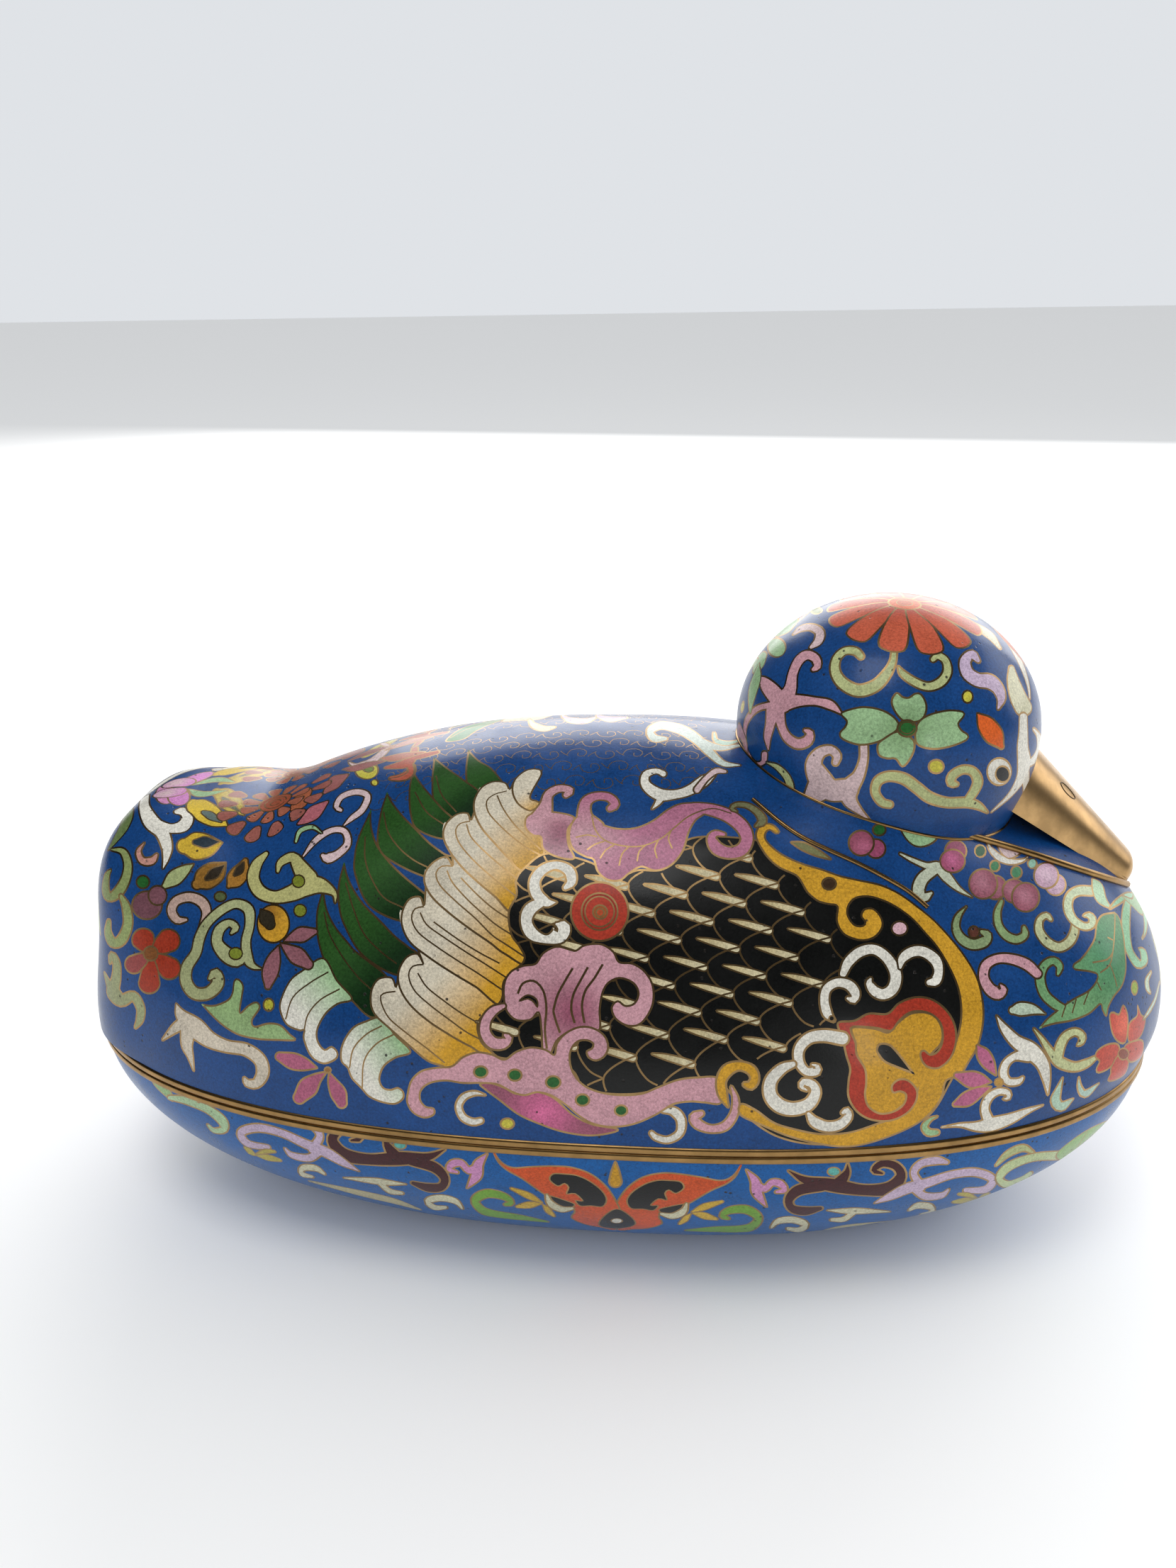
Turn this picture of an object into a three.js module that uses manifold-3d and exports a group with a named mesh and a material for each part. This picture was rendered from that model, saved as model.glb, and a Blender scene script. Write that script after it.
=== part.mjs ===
// A cloisonne enamel box in the form of a resting duck, in millimetres, +X towards the beak and +Z up.
// The lid is the duck's back, tail, breast and head, beaten hollow in one with its enamel. It lifts off a shallow
// bowl. Each half ends in a brass band, and the bowl's band carries an upright lip that keeps the lid in place.
// The beak is a brass casting on the head. The origin is on the surface that the bowl stands on.
import * as THREE from "three";
import Module from "manifold-3d";
import { mergeVertices } from "three/addons/utils/BufferGeometryUtils.js";

const wasm = await Module();
wasm.setup();

// The oval where the two halves meet
const RIM_HALF_LENGTH = 109.5;
const RIM_HALF_WIDTH = 56;
const RIM_HEIGHT = 36; // above the table
const RIM_POWER = 2.45; // 2 is an ellipse, and more is squarer
const RIM_EGG = 0.08; // how much wider the breast end is, as a share of the width

// Metal
const SHELL_WALL = 1.8; // beaten copper with its enamel
const BAND_HEIGHT = 1.6;
const BAND_PROUD = 0.4; // beyond the enamel
const BAND_CHAMFER = 0.35;
const LIP_HEIGHT = 4;
const LIP_WALL = 1.2;
const LIP_CLEARANCE = 0.6; // between the lip and the lid's inner wall
const SEAT_GAP = 0.3; // between the beak and the lid

// The bowl curves in under the rim down to a flat underside, which is this share of the oval.
const UNDERSIDE_SHARE = 0.61;

// The lid's swellings. Centres are from the middle of the oval at the height of the rim. All sizes along X are
// shares of the oval's half length, those along Y of its half width, and those along Z of the back's rise.
// Rise and drop are the half heights above and below a swelling's centre, and a power says how square it is.
const BACK_RISE = 60.5;
const BACK_POWER = 1.95;
const TAIL = { x: -0.785, z: 0.273, halfX: 0.172, halfY: 0.482, rise: 0.5, drop: 0.5, power: 3.4 };
const BREAST = { x: 0.566, z: 0.116, halfX: 0.466, halfY: 0.866, rise: 0.661, drop: 0.264, power: 2 };
const NECK = { x: 0.393, z: 0.587, halfX: 0.283, halfY: 0.616, rise: 0.388, drop: 0.388, power: 2.2 };
const HEAD = { x: 0.499, z: 1.018, halfX: 0.2676, halfY: 0.5, rise: 0.42, drop: 0.562, power: 2 };
const TAIL_BLEND = 9;
const NECK_BLEND = 10;
const BREAST_BLEND = 3;

// The beak runs down and forward from inside the head, between two points given as the swellings' centres are.
const BEAK_ROOT = { x: 0.694, z: 0.851 };
const BEAK_TIP = { x: 0.959, z: 0.504 };
const BEAK_ROOT_HALF_WIDTH = 13.5;
const BEAK_TIP_HALF_WIDTH = 5.5;
const BEAK_ROOT_HALF_HEIGHT = 10;
const BEAK_TIP_HALF_HEIGHT = 3.2;
const BEAK_POWER = 3;
const BEAK_END_ROUND = 2.5;

// How finely the round forms are faceted
const SPOKES = 60;
const LID_RINGS = 15;
const BOWL_RINGS = 7;
const HEAD_SPOKES = 34;
const HEAD_RINGS = 17;
const BEAK_SIDES = 20;
const BEAK_STEPS = 5;

const TURN = 2 * Math.PI;
const TINY = 1e-9;

// The oval's middle stands so that the band at the tail and the foremost point of the breast are equally far off.
const BREAST_REACH = (BREAST.x + BREAST.halfX) * RIM_HALF_LENGTH;
const CENTRE_X = (RIM_HALF_LENGTH + BAND_PROUD - BREAST_REACH) / 2;
const BOWL_DEPTH = RIM_HEIGHT / Math.sqrt(1 - UNDERSIDE_SHARE ** 2); // where its curve would end with no underside

// A place on the duck's middle plane, from its shares.
const placed = ({ x, z }) =>
  new THREE.Vector3(CENTRE_X + x * RIM_HALF_LENGTH, 0, RIM_HEIGHT + z * BACK_RISE);

// A distance-like field of a rounded form: 0 on its surface, negative inside, with a slope near 1.
function roundedField(x, y, z, half, planPower, heightPower) {
  const u = Math.abs(x) / half[0] + TINY;
  const v = Math.abs(y) / half[1] + TINY;
  const w = Math.abs(z) / half[2] + TINY;
  const plan = (u ** planPower + v ** planPower) ** (1 / planPower);
  const size = (plan ** heightPower + w ** heightPower) ** (1 / heightPower);
  const scale = size ** (1 - heightPower);
  const sideways = scale * plan ** (heightPower - planPower);
  const slope = Math.hypot(
    (sideways * u ** (planPower - 1)) / half[0],
    (sideways * v ** (planPower - 1)) / half[1],
    (scale * w ** (heightPower - 1)) / half[2],
  );
  return (size - 1) / slope;
}

function swellingField(p, form) {
  const q = p.clone().sub(placed(form));
  const height = q.z > 0 ? form.rise : form.drop;
  const half = [form.halfX * RIM_HALF_LENGTH, form.halfY * RIM_HALF_WIDTH, height * BACK_RISE];
  return roundedField(q.x, q.y, q.z, half, form.power, form.power);
}

function softUnion(a, b, blend) {
  const share = Math.max(blend - Math.abs(a - b), 0) / blend;
  return Math.min(a, b) - (share * share * blend) / 4;
}

// How much wider the oval is at a place along its length.
const eggWidth = (alongX) => 1 + (RIM_EGG * alongX) / RIM_HALF_LENGTH;

function backField(p) {
  const x = p.x - CENTRE_X;
  const half = [RIM_HALF_LENGTH, RIM_HALF_WIDTH, BACK_RISE];
  return roundedField(x, p.y / eggWidth(x), p.z - RIM_HEIGHT, half, RIM_POWER, BACK_POWER);
}

// The lid without its head.
function torsoField(p) {
  const front = softUnion(swellingField(p, BREAST), swellingField(p, NECK), NECK_BLEND);
  const rear = softUnion(backField(p), swellingField(p, TAIL), TAIL_BLEND);
  return softUnion(rear, front, BREAST_BLEND);
}

const headField = (p) => swellingField(p, HEAD);

// Where a ray that starts inside a field first leaves the level set field = level.
function surfaceAlong(origin, direction, field, level) {
  const at = (t) => origin.clone().addScaledVector(direction, t);
  const STEP = 0.02;
  let far = STEP;
  while (field(at(far)) < level) far += STEP;
  let near = far - STEP;
  for (let i = 0; i < 30; i++) {
    const middle = (near + far) / 2;
    if (field(at(middle)) < level) near = middle;
    else far = middle;
  }
  return at(near);
}

// A point of the oval, moved outwards by offset, at an angle about its centre.
function ovalPoint(angle, offset, z) {
  const c = Math.cos(angle);
  const s = Math.sin(angle);
  const size = (Math.abs(c) ** RIM_POWER + Math.abs(s) ** RIM_POWER) ** (1 / RIM_POWER);
  const x = ((RIM_HALF_LENGTH + offset) * c) / size;
  const y = ((RIM_HALF_WIDTH + offset) * s) / size;
  return new THREE.Vector3(CENTRE_X + x, y * eggWidth(x), z);
}

function meshGeometry(points, triangles) {
  const geometry = new THREE.BufferGeometry().setFromPoints(points);
  geometry.setIndex(triangles);
  return geometry;
}

// A closed body from loops of points that run from its bottom to its top, counter-clockwise seen from above.
// Each end is closed by a fan about its own middle point.
function loopedBody(loops, bottomPoint, topPoint) {
  const count = loops[0].length;
  const points = [...loops.flat(), bottomPoint, topPoint];
  const bottom = points.length - 2;
  const top = points.length - 1;
  const triangles = [];
  loops.forEach((loop, k) => {
    for (let i = 0; i < count; i++) {
      const j = (i + 1) % count;
      const a = k * count + i;
      const b = k * count + j;
      if (k === 0) triangles.push(bottom, b, a);
      if (k === loops.length - 1) triangles.push(a, b, top);
      else triangles.push(a, b, b + count, a, b + count, a + count);
    }
  });
  return meshGeometry(points, triangles);
}

function toSolid(geometry) {
  geometry.deleteAttribute("normal");
  geometry.deleteAttribute("uv");
  const merged = mergeVertices(geometry, 1e-4);
  return new wasm.Manifold(
    new wasm.Mesh({
      numProp: 3,
      vertProperties: merged.attributes.position.array,
      triVerts: new Uint32Array(merged.index.array),
    }),
  );
}

function fromSolid(solid) {
  const mesh = solid.getMesh();
  const geometry = new THREE.BufferGeometry();
  geometry.setAttribute("position", new THREE.BufferAttribute(new Float32Array(mesh.vertProperties), 3));
  geometry.setIndex([...mesh.triVerts]);
  return geometry;
}

const angles = (count) => Array.from({ length: count }, (_, i) => (i * TURN) / count);

// The lid's torso above a level, cut flat there, with its surface on field = level.
function torsoBody(bottomZ, level) {
  const origin = new THREE.Vector3(CENTRE_X, 0, bottomZ);
  const loops = Array.from({ length: LID_RINGS }, (_, k) => {
    const fall = ((1 - k / LID_RINGS) * Math.PI) / 2;
    return angles(SPOKES).map((angle) => {
      const direction = ovalPoint(angle, 0, 0).sub(new THREE.Vector3(CENTRE_X, 0, 0));
      direction.multiplyScalar(Math.sin(fall)).setZ(BACK_RISE * Math.cos(fall));
      return surfaceAlong(origin, direction, torsoField, level);
    });
  });
  const top = surfaceAlong(origin, new THREE.Vector3(0, 0, BACK_RISE), torsoField, level);
  return toSolid(loopedBody(loops, origin, top));
}

function headBody(level) {
  const origin = placed(HEAD);
  const along = (fall, angle) => {
    const direction = new THREE.Vector3(
      HEAD.halfX * RIM_HALF_LENGTH * Math.sin(fall) * Math.cos(angle),
      HEAD.halfY * RIM_HALF_WIDTH * Math.sin(fall) * Math.sin(angle),
      (fall > Math.PI / 2 ? HEAD.drop : HEAD.rise) * BACK_RISE * Math.cos(fall),
    );
    return surfaceAlong(origin, direction, headField, level);
  };
  const loops = Array.from({ length: HEAD_RINGS - 1 }, (_, k) => {
    const fall = Math.PI * (1 - (k + 1) / HEAD_RINGS);
    return angles(HEAD_SPOKES).map((angle) => along(fall, angle));
  });
  return toSolid(loopedBody(loops, along(Math.PI, 0), along(0, 0)));
}

function makeLid() {
  const bottom = RIM_HEIGHT + BAND_HEIGHT;
  const outside = torsoBody(bottom, 0).add(headBody(0));
  const hollow = torsoBody(bottom - BAND_HEIGHT, -SHELL_WALL).add(headBody(-SHELL_WALL));
  return fromSolid(outside.subtract(hollow));
}

// A bowl between two heights, with its surface moved inwards by inset.
function bowlBody(bottomZ, topZ, inset) {
  const depth = BOWL_DEPTH - inset;
  const steepest = Math.asin((RIM_HEIGHT - bottomZ) / depth);
  const flattest = Math.asin((RIM_HEIGHT - topZ) / depth);
  const loops = Array.from({ length: BOWL_RINGS + 1 }, (_, k) => {
    const bend = steepest + ((flattest - steepest) * k) / BOWL_RINGS;
    return angles(SPOKES).map((angle) => {
      const p = ovalPoint(angle, -inset, RIM_HEIGHT - depth * Math.sin(bend));
      p.x = CENTRE_X + (p.x - CENTRE_X) * Math.cos(bend);
      p.y *= Math.cos(bend);
      return p;
    });
  });
  const middle = (z) => new THREE.Vector3(CENTRE_X, 0, z);
  return toSolid(loopedBody(loops, middle(bottomZ), middle(topZ)));
}

function makeBase() {
  const top = RIM_HEIGHT - BAND_HEIGHT;
  return fromSolid(bowlBody(0, top, 0).subtract(bowlBody(SHELL_WALL, RIM_HEIGHT, SHELL_WALL)));
}

// A closed ring round the oval, from a section of [offset, z] corners given counter-clockwise.
function ovalRing(section) {
  const loops = angles(SPOKES).map((angle) => section.map(([offset, z]) => ovalPoint(angle, offset, z)));
  const sides = section.length;
  const triangles = [];
  for (let i = 0; i < SPOKES; i++) {
    for (let k = 0; k < sides; k++) {
      const a = i * sides + k;
      const b = i * sides + ((k + 1) % sides);
      const c = ((i + 1) % SPOKES) * sides + k;
      const d = ((i + 1) % SPOKES) * sides + ((k + 1) % sides);
      triangles.push(a, c, d, a, d, b);
    }
  }
  return meshGeometry(loops.flat(), triangles);
}

function makeLidRim() {
  const top = RIM_HEIGHT + BAND_HEIGHT;
  return ovalRing([
    [-SHELL_WALL, RIM_HEIGHT],
    [BAND_PROUD - BAND_CHAMFER, RIM_HEIGHT],
    [BAND_PROUD, RIM_HEIGHT + BAND_CHAMFER],
    [BAND_PROUD, top - BAND_CHAMFER],
    [BAND_PROUD - BAND_CHAMFER, top],
    [-SHELL_WALL, top],
  ]);
}

function makeBaseRim() {
  const bottom = RIM_HEIGHT - BAND_HEIGHT;
  const lipOut = -SHELL_WALL - LIP_CLEARANCE;
  const lipIn = lipOut - LIP_WALL;
  return ovalRing([
    [lipIn, bottom],
    [BAND_PROUD - BAND_CHAMFER, bottom],
    [BAND_PROUD, bottom + BAND_CHAMFER],
    [BAND_PROUD, RIM_HEIGHT - BAND_CHAMFER],
    [BAND_PROUD - BAND_CHAMFER, RIM_HEIGHT],
    [lipOut, RIM_HEIGHT],
    [lipOut, RIM_HEIGHT + LIP_HEIGHT],
    [lipIn, RIM_HEIGHT + LIP_HEIGHT],
  ]);
}

// A tapering bar with rounded-square sections and a rounded tip, less what the lid takes up.
function makeBeak() {
  const root = placed(BEAK_ROOT);
  const run = placed(BEAK_TIP).sub(root);
  const length = run.length();
  const forward = run.clone().normalize();
  const up = new THREE.Vector3(-forward.z, 0, forward.x);
  const sideways = new THREE.Vector3().crossVectors(forward, up);
  const section = (distance, shrink) => {
    const share = distance / length;
    const halfWidth = (BEAK_ROOT_HALF_WIDTH + (BEAK_TIP_HALF_WIDTH - BEAK_ROOT_HALF_WIDTH) * share) * shrink;
    const halfHeight = (BEAK_ROOT_HALF_HEIGHT + (BEAK_TIP_HALF_HEIGHT - BEAK_ROOT_HALF_HEIGHT) * share) * shrink;
    return angles(BEAK_SIDES).map((angle) => {
      const c = Math.cos(angle);
      const s = Math.sin(angle);
      const size = (Math.abs(c) ** BEAK_POWER + Math.abs(s) ** BEAK_POWER) ** (1 / BEAK_POWER);
      return root
        .clone()
        .addScaledVector(forward, distance)
        .addScaledVector(up, (halfHeight * c) / size)
        .addScaledVector(sideways, (halfWidth * s) / size);
    });
  };
  const straight = length - BEAK_END_ROUND;
  const loops = Array.from({ length: BEAK_STEPS }, (_, k) => section((straight * k) / (BEAK_STEPS - 1), 1));
  for (const turn of [Math.PI / 6, Math.PI / 3]) {
    const share = BEAK_END_ROUND / BEAK_TIP_HALF_HEIGHT;
    loops.push(section(straight + BEAK_END_ROUND * Math.sin(turn), 1 - share * (1 - Math.cos(turn))));
  }
  const tip = root.clone().addScaledVector(forward, length);
  const bar = toSolid(loopedBody(loops, root, tip));
  const lidSpace = torsoBody(RIM_HEIGHT + BAND_HEIGHT, SEAT_GAP).add(headBody(SEAT_GAP));
  const pieces = bar.subtract(lidSpace).decompose();
  pieces.sort((a, b) => b.volume() - a.volume());
  return fromSolid(pieces[0]);
}

const blueEnamel = new THREE.MeshStandardMaterial({ color: 0x2f5596, roughness: 0.3, metalness: 0 });
const skyEnamel = new THREE.MeshStandardMaterial({ color: 0x2a6eaf, roughness: 0.3, metalness: 0 });
const agedBrass = new THREE.MeshStandardMaterial({ color: 0x8f6a35, roughness: 0.4, metalness: 1 });

function named(name, geometry, material) {
  const mesh = new THREE.Mesh(geometry, material);
  mesh.name = name;
  return mesh;
}

const duckBox = new THREE.Group();
duckBox.add(named("lid", makeLid(), blueEnamel));
duckBox.add(named("lid_rim", makeLidRim(), agedBrass));
duckBox.add(named("beak", makeBeak(), agedBrass));
duckBox.add(named("base", makeBase(), skyEnamel));
duckBox.add(named("base_rim", makeBaseRim(), agedBrass));

export default duckBox;
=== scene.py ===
# The looks of a cloisonne enamel box in the form of a resting duck: enamel cells between gilt wires on a
# copper shell, brass bands where the lid meets the bowl, and a cast brass beak. Shapes are worked out in
# millimetres.
import math
from functools import partial

import bpy
import numpy as np
from mathutils import Matrix, Vector
from mathutils.geometry import delaunay_2d_cdt


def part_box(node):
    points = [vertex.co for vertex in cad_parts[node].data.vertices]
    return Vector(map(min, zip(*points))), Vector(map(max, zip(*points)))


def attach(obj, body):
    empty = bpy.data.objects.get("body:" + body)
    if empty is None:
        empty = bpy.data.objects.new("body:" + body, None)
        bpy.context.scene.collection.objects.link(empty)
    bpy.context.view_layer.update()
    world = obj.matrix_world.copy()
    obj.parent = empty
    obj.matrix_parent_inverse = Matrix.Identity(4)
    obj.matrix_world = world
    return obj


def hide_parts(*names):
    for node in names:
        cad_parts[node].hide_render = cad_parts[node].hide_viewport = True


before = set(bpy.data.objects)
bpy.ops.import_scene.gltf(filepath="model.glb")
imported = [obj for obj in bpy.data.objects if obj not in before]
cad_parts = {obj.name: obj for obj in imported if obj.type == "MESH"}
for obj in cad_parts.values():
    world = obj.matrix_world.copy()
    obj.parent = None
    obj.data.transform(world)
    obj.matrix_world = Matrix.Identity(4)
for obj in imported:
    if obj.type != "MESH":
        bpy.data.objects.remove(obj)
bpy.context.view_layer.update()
bpy.ops.object.select_all(action="DESELECT")

MM = 0.001
TINY = 1e-9

# The oval where the two halves meet, and the metal
HALF_LENGTH = 109.5
HALF_WIDTH = 56.0
RIM_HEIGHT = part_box("lid_rim")[0].z / MM
OVAL_POWER = 2.45
OVAL_EGG = 0.08
BAND_HEIGHT = 1.6
BAND_PROUD = 0.4
SHELL_WALL = 1.8
LIP_OFFSET = -2.4
LIP_WALL = 1.2
LIP_HEIGHT = 4.0
UNDERSIDE_SHARE = 0.61
BOWL_DEPTH = RIM_HEIGHT / math.sqrt(1 - UNDERSIDE_SHARE**2)
BOWL_SLOPE = 0.7
SMALLEST_SHARE = 0.05
LID_BOTTOM = RIM_HEIGHT + BAND_HEIGHT
BOWL_TOP = RIM_HEIGHT - BAND_HEIGHT

# The lid's swellings, as shares of the oval's half length and half width and of the back's rise
BACK_RISE = 60.5
BACK_POWER = 1.95
TAIL = dict(x=-0.785, z=0.273, half_x=0.172, half_y=0.482, rise=0.5, drop=0.5, power=3.4)
BREAST = dict(x=0.566, z=0.116, half_x=0.466, half_y=0.866, rise=0.661, drop=0.264, power=2.0)
NECK = dict(x=0.393, z=0.587, half_x=0.283, half_y=0.616, rise=0.388, drop=0.388, power=2.2)
HEAD = dict(x=0.499, z=1.018, half_x=0.2676, half_y=0.5, rise=0.42, drop=0.562, power=2.0)
TAIL_BLEND = 9.0
NECK_BLEND = 10.0
BREAST_BLEND = 3.0
CENTRE_X = (HALF_LENGTH + BAND_PROUD - (BREAST["x"] + BREAST["half_x"]) * HALF_LENGTH) / 2

# The photograph's camera, solved from the outline of the box
PHOTO_WIDTH, PHOTO_HEIGHT = 1659, 2212
FOCAL_PIXELS = 1768.0
EYE = np.array([8.44, -238.19, 179.46])
YAW, PITCH, ROLL = np.radians([-3.52, -21.8, -0.94])
FORWARD = np.array([math.sin(YAW) * math.cos(PITCH), math.cos(YAW) * math.cos(PITCH), math.sin(PITCH)])
LEVEL = np.array([math.cos(YAW), -math.sin(YAW), 0.0])
UPRIGHT = np.cross(LEVEL, FORWARD)
RIGHT = LEVEL * math.cos(ROLL) + UPRIGHT * math.sin(ROLL)
UP = UPRIGHT * math.cos(ROLL) - LEVEL * math.sin(ROLL)

WIRE = 0.38  # width of a wire's top
GRID = 1.7  # spacing of the points between the wires
ON_SURFACE = 0.4  # how far off a surface a place may lie
MIDDLE_GAP = 0.3  # left free between a cell and its mirror image
BEYOND_MIDDLE = 0.3  # a motif with more than this share beyond the middle line isn't mirrored
EDGE_STEPS = 420  # points along the edge of an enamelled surface
LINE_STEP = 4.2  # between the points of a drawn line, in pixels of the photograph
WIRE_STEP = 7.0
PLAIN_SCALE = 0.16  # makes those steps fit the plain views, which are in millimetres
VIEW_DISTANCE = 260.0  # from the middle of the duck to where the plain views look from
FIRST_SIGHT = 110.0  # where the search along a line of sight begins
SIGHT_STEPS = 60
LID_CUTS = (-38, 32)  # where the lid's enamel is divided into tail, wing and breast


def make_camera():
    data = bpy.data.cameras.new("photograph_view")
    camera = bpy.data.objects.new("photograph_view", data)
    bpy.context.scene.collection.objects.link(camera)
    data.sensor_width = 36.0
    data.lens = FOCAL_PIXELS * data.sensor_width / PHOTO_HEIGHT
    data.clip_start = 0.01
    data.clip_end = 20.0
    turn = Matrix([RIGHT, UP, -FORWARD]).transposed().to_4x4()
    camera.matrix_world = Matrix.Translation(EYE * MM) @ turn
    bpy.context.scene.camera = camera


make_camera()


# The form of the duck, as fields that are negative inside


def rounded_field(q, half, plan_power, height_power):
    u, v, w = (np.abs(q[:, i]) / half[i] + TINY for i in range(3))
    plan = (u**plan_power + v**plan_power) ** (1 / plan_power)
    size = (plan**height_power + w**height_power) ** (1 / height_power)
    scale = size ** (1 - height_power)
    sideways = scale * plan ** (height_power - plan_power)
    slope_x = sideways * u ** (plan_power - 1) / half[0]
    slope_y = sideways * v ** (plan_power - 1) / half[1]
    slope_z = scale * w ** (height_power - 1) / half[2]
    return (size - 1) / np.sqrt(slope_x**2 + slope_y**2 + slope_z**2)


def placed(form):
    return np.array([CENTRE_X + form["x"] * HALF_LENGTH, 0.0, RIM_HEIGHT + form["z"] * BACK_RISE])


def half_sizes(form):
    return (
        form["half_x"] * HALF_LENGTH,
        form["half_y"] * HALF_WIDTH,
        form["rise"] * BACK_RISE,
        form["drop"] * BACK_RISE,
    )


def swelling_field(p, form):
    q = p - placed(form)
    half_x, half_y, rise, drop = half_sizes(form)
    half = (half_x, half_y, np.where(q[:, 2] > 0, rise, drop))
    return rounded_field(q, half, form["power"], form["power"])


def soft_union(a, b, blend):
    share = np.maximum(blend - np.abs(a - b), 0) / blend
    return np.minimum(a, b) - share * share * blend / 4


def back_field(p):
    q = p - np.array([CENTRE_X, 0, RIM_HEIGHT])
    q[:, 1] /= 1 + OVAL_EGG * q[:, 0] / HALF_LENGTH
    return rounded_field(q, (HALF_LENGTH, HALF_WIDTH, BACK_RISE), OVAL_POWER, BACK_POWER)


def torso_field(p):
    front = soft_union(swelling_field(p, BREAST), swelling_field(p, NECK), NECK_BLEND)
    rear = soft_union(back_field(p), swelling_field(p, TAIL), TAIL_BLEND)
    return soft_union(rear, front, BREAST_BLEND)


def head_field(p):
    return swelling_field(p, HEAD)


def bowl_field(p):
    q = p - np.array([CENTRE_X, 0, RIM_HEIGHT])
    share = np.sqrt(np.maximum(1 - (np.minimum(q[:, 2], 0) / BOWL_DEPTH) ** 2, SMALLEST_SHARE))
    x = q[:, 0] / share / HALF_LENGTH
    y = q[:, 1] / share / HALF_WIDTH / (1 + OVAL_EGG * x)
    size = (np.abs(x) ** OVAL_POWER + np.abs(y) ** OVAL_POWER) ** (1 / OVAL_POWER)
    return np.maximum((size - 1) * HALF_WIDTH * BOWL_SLOPE, -p[:, 2])


def outward(field, p):
    """Unit normals of a field's surface."""
    reach = 0.02
    sides = [field(p + reach * axis) - field(p - reach * axis) for axis in np.eye(3)]
    slope = np.stack(sides, -1)
    return slope / np.linalg.norm(slope, axis=1)[:, None]


def sight_lines(view, places):
    """The lines of sight through places of the photograph, in pixels, or of a plain view, in millimetres."""
    u, v = places[:, 0], places[:, 1]
    far = np.full(len(places), VIEW_DISTANCE)
    if view == "photo":
        across = (u - PHOTO_WIDTH / 2) / FOCAL_PIXELS
        down = (v - PHOTO_HEIGHT / 2) / FOCAL_PIXELS
        rays = FORWARD + across[:, None] * RIGHT - down[:, None] * UP
        return np.tile(EYE, (len(places), 1)), rays / np.linalg.norm(rays, axis=1)[:, None]
    if view == "top":
        return np.column_stack([u, v, far]), np.tile([0.0, 0.0, -1.0], (len(places), 1))
    if view == "rear":
        return np.column_stack([-far, -u, v]), np.tile([1.0, 0.0, 0.0], (len(places), 1))
    return np.column_stack([far, -u, v]), np.tile([-1.0, 0.0, 0.0], (len(places), 1))


def cast(starts, rays, field):
    """Where lines of sight meet a surface, or pass it most closely."""
    far = np.full(len(rays), FIRST_SIGHT)
    closest = np.full(len(rays), np.inf)
    kept = far.copy()
    for _ in range(SIGHT_STEPS):
        gap = field(starts + far[:, None] * rays)
        nearer = np.abs(gap) < closest
        closest = np.where(nearer, np.abs(gap), closest)
        kept = np.where(nearer, far, kept)
        far = far + np.clip(gap * 0.9, -3, 40)
    return starts + kept[:, None] * rays


# Flat charts of the surfaces, on which the enamel's cells are laid out


class TorsoChart:
    """The lid without its head, seen along rays that spread from the middle of its lower edge."""

    origin = np.array([CENTRE_X, 0.0, LID_BOTTOM])
    half = np.array([HALF_LENGTH, HALF_WIDTH, BACK_RISE])
    field = staticmethod(torso_field)

    def flat(self, p):
        q = (p - self.origin) / self.half
        across = np.hypot(q[:, 0], q[:, 1]) + TINY
        fall = np.arctan2(across, q[:, 2])
        return q[:, :2] / across[:, None] * fall[:, None] * self.half[:2]

    def ways(self, flat):
        q = flat / self.half[:2]
        fall = np.hypot(q[:, 0], q[:, 1]) + TINY
        across = q / fall[:, None] * np.sin(fall)[:, None]
        return np.column_stack([across, np.cos(fall)]) * self.half

    def solid(self, flat):
        ways = self.ways(flat)
        near, far = np.full(len(flat), 0.3), np.full(len(flat), 2.0)
        for _ in range(24):
            middle = (near + far) / 2
            within = self.field(self.origin + middle[:, None] * ways) < 0
            near = np.where(within, middle, near)
            far = np.where(within, far, middle)
        return self.origin + near[:, None] * ways

    def normals(self, p):
        return outward(self.field, p)


class HeadChart(TorsoChart):
    """The head, seen along rays from its centre."""

    field = staticmethod(head_field)

    def __init__(self):
        half_x, half_y, self.rise, self.drop = half_sizes(HEAD)
        self.origin = placed(HEAD)
        self.half = np.array([half_x, half_y, 1.0])

    def flat(self, p):
        q = (p - self.origin) / self.half
        q[:, 2] /= np.where(q[:, 2] > 0, self.rise, self.drop)
        across = np.hypot(q[:, 0], q[:, 1]) + TINY
        fall = np.arctan2(across, q[:, 2])
        return q[:, :2] / across[:, None] * fall[:, None] * self.half[:2]

    def solid(self, flat):
        ways = self.ways(flat)
        ways[:, 2] *= np.where(ways[:, 2] > 0, self.rise, self.drop)
        return self.origin + ways


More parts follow.
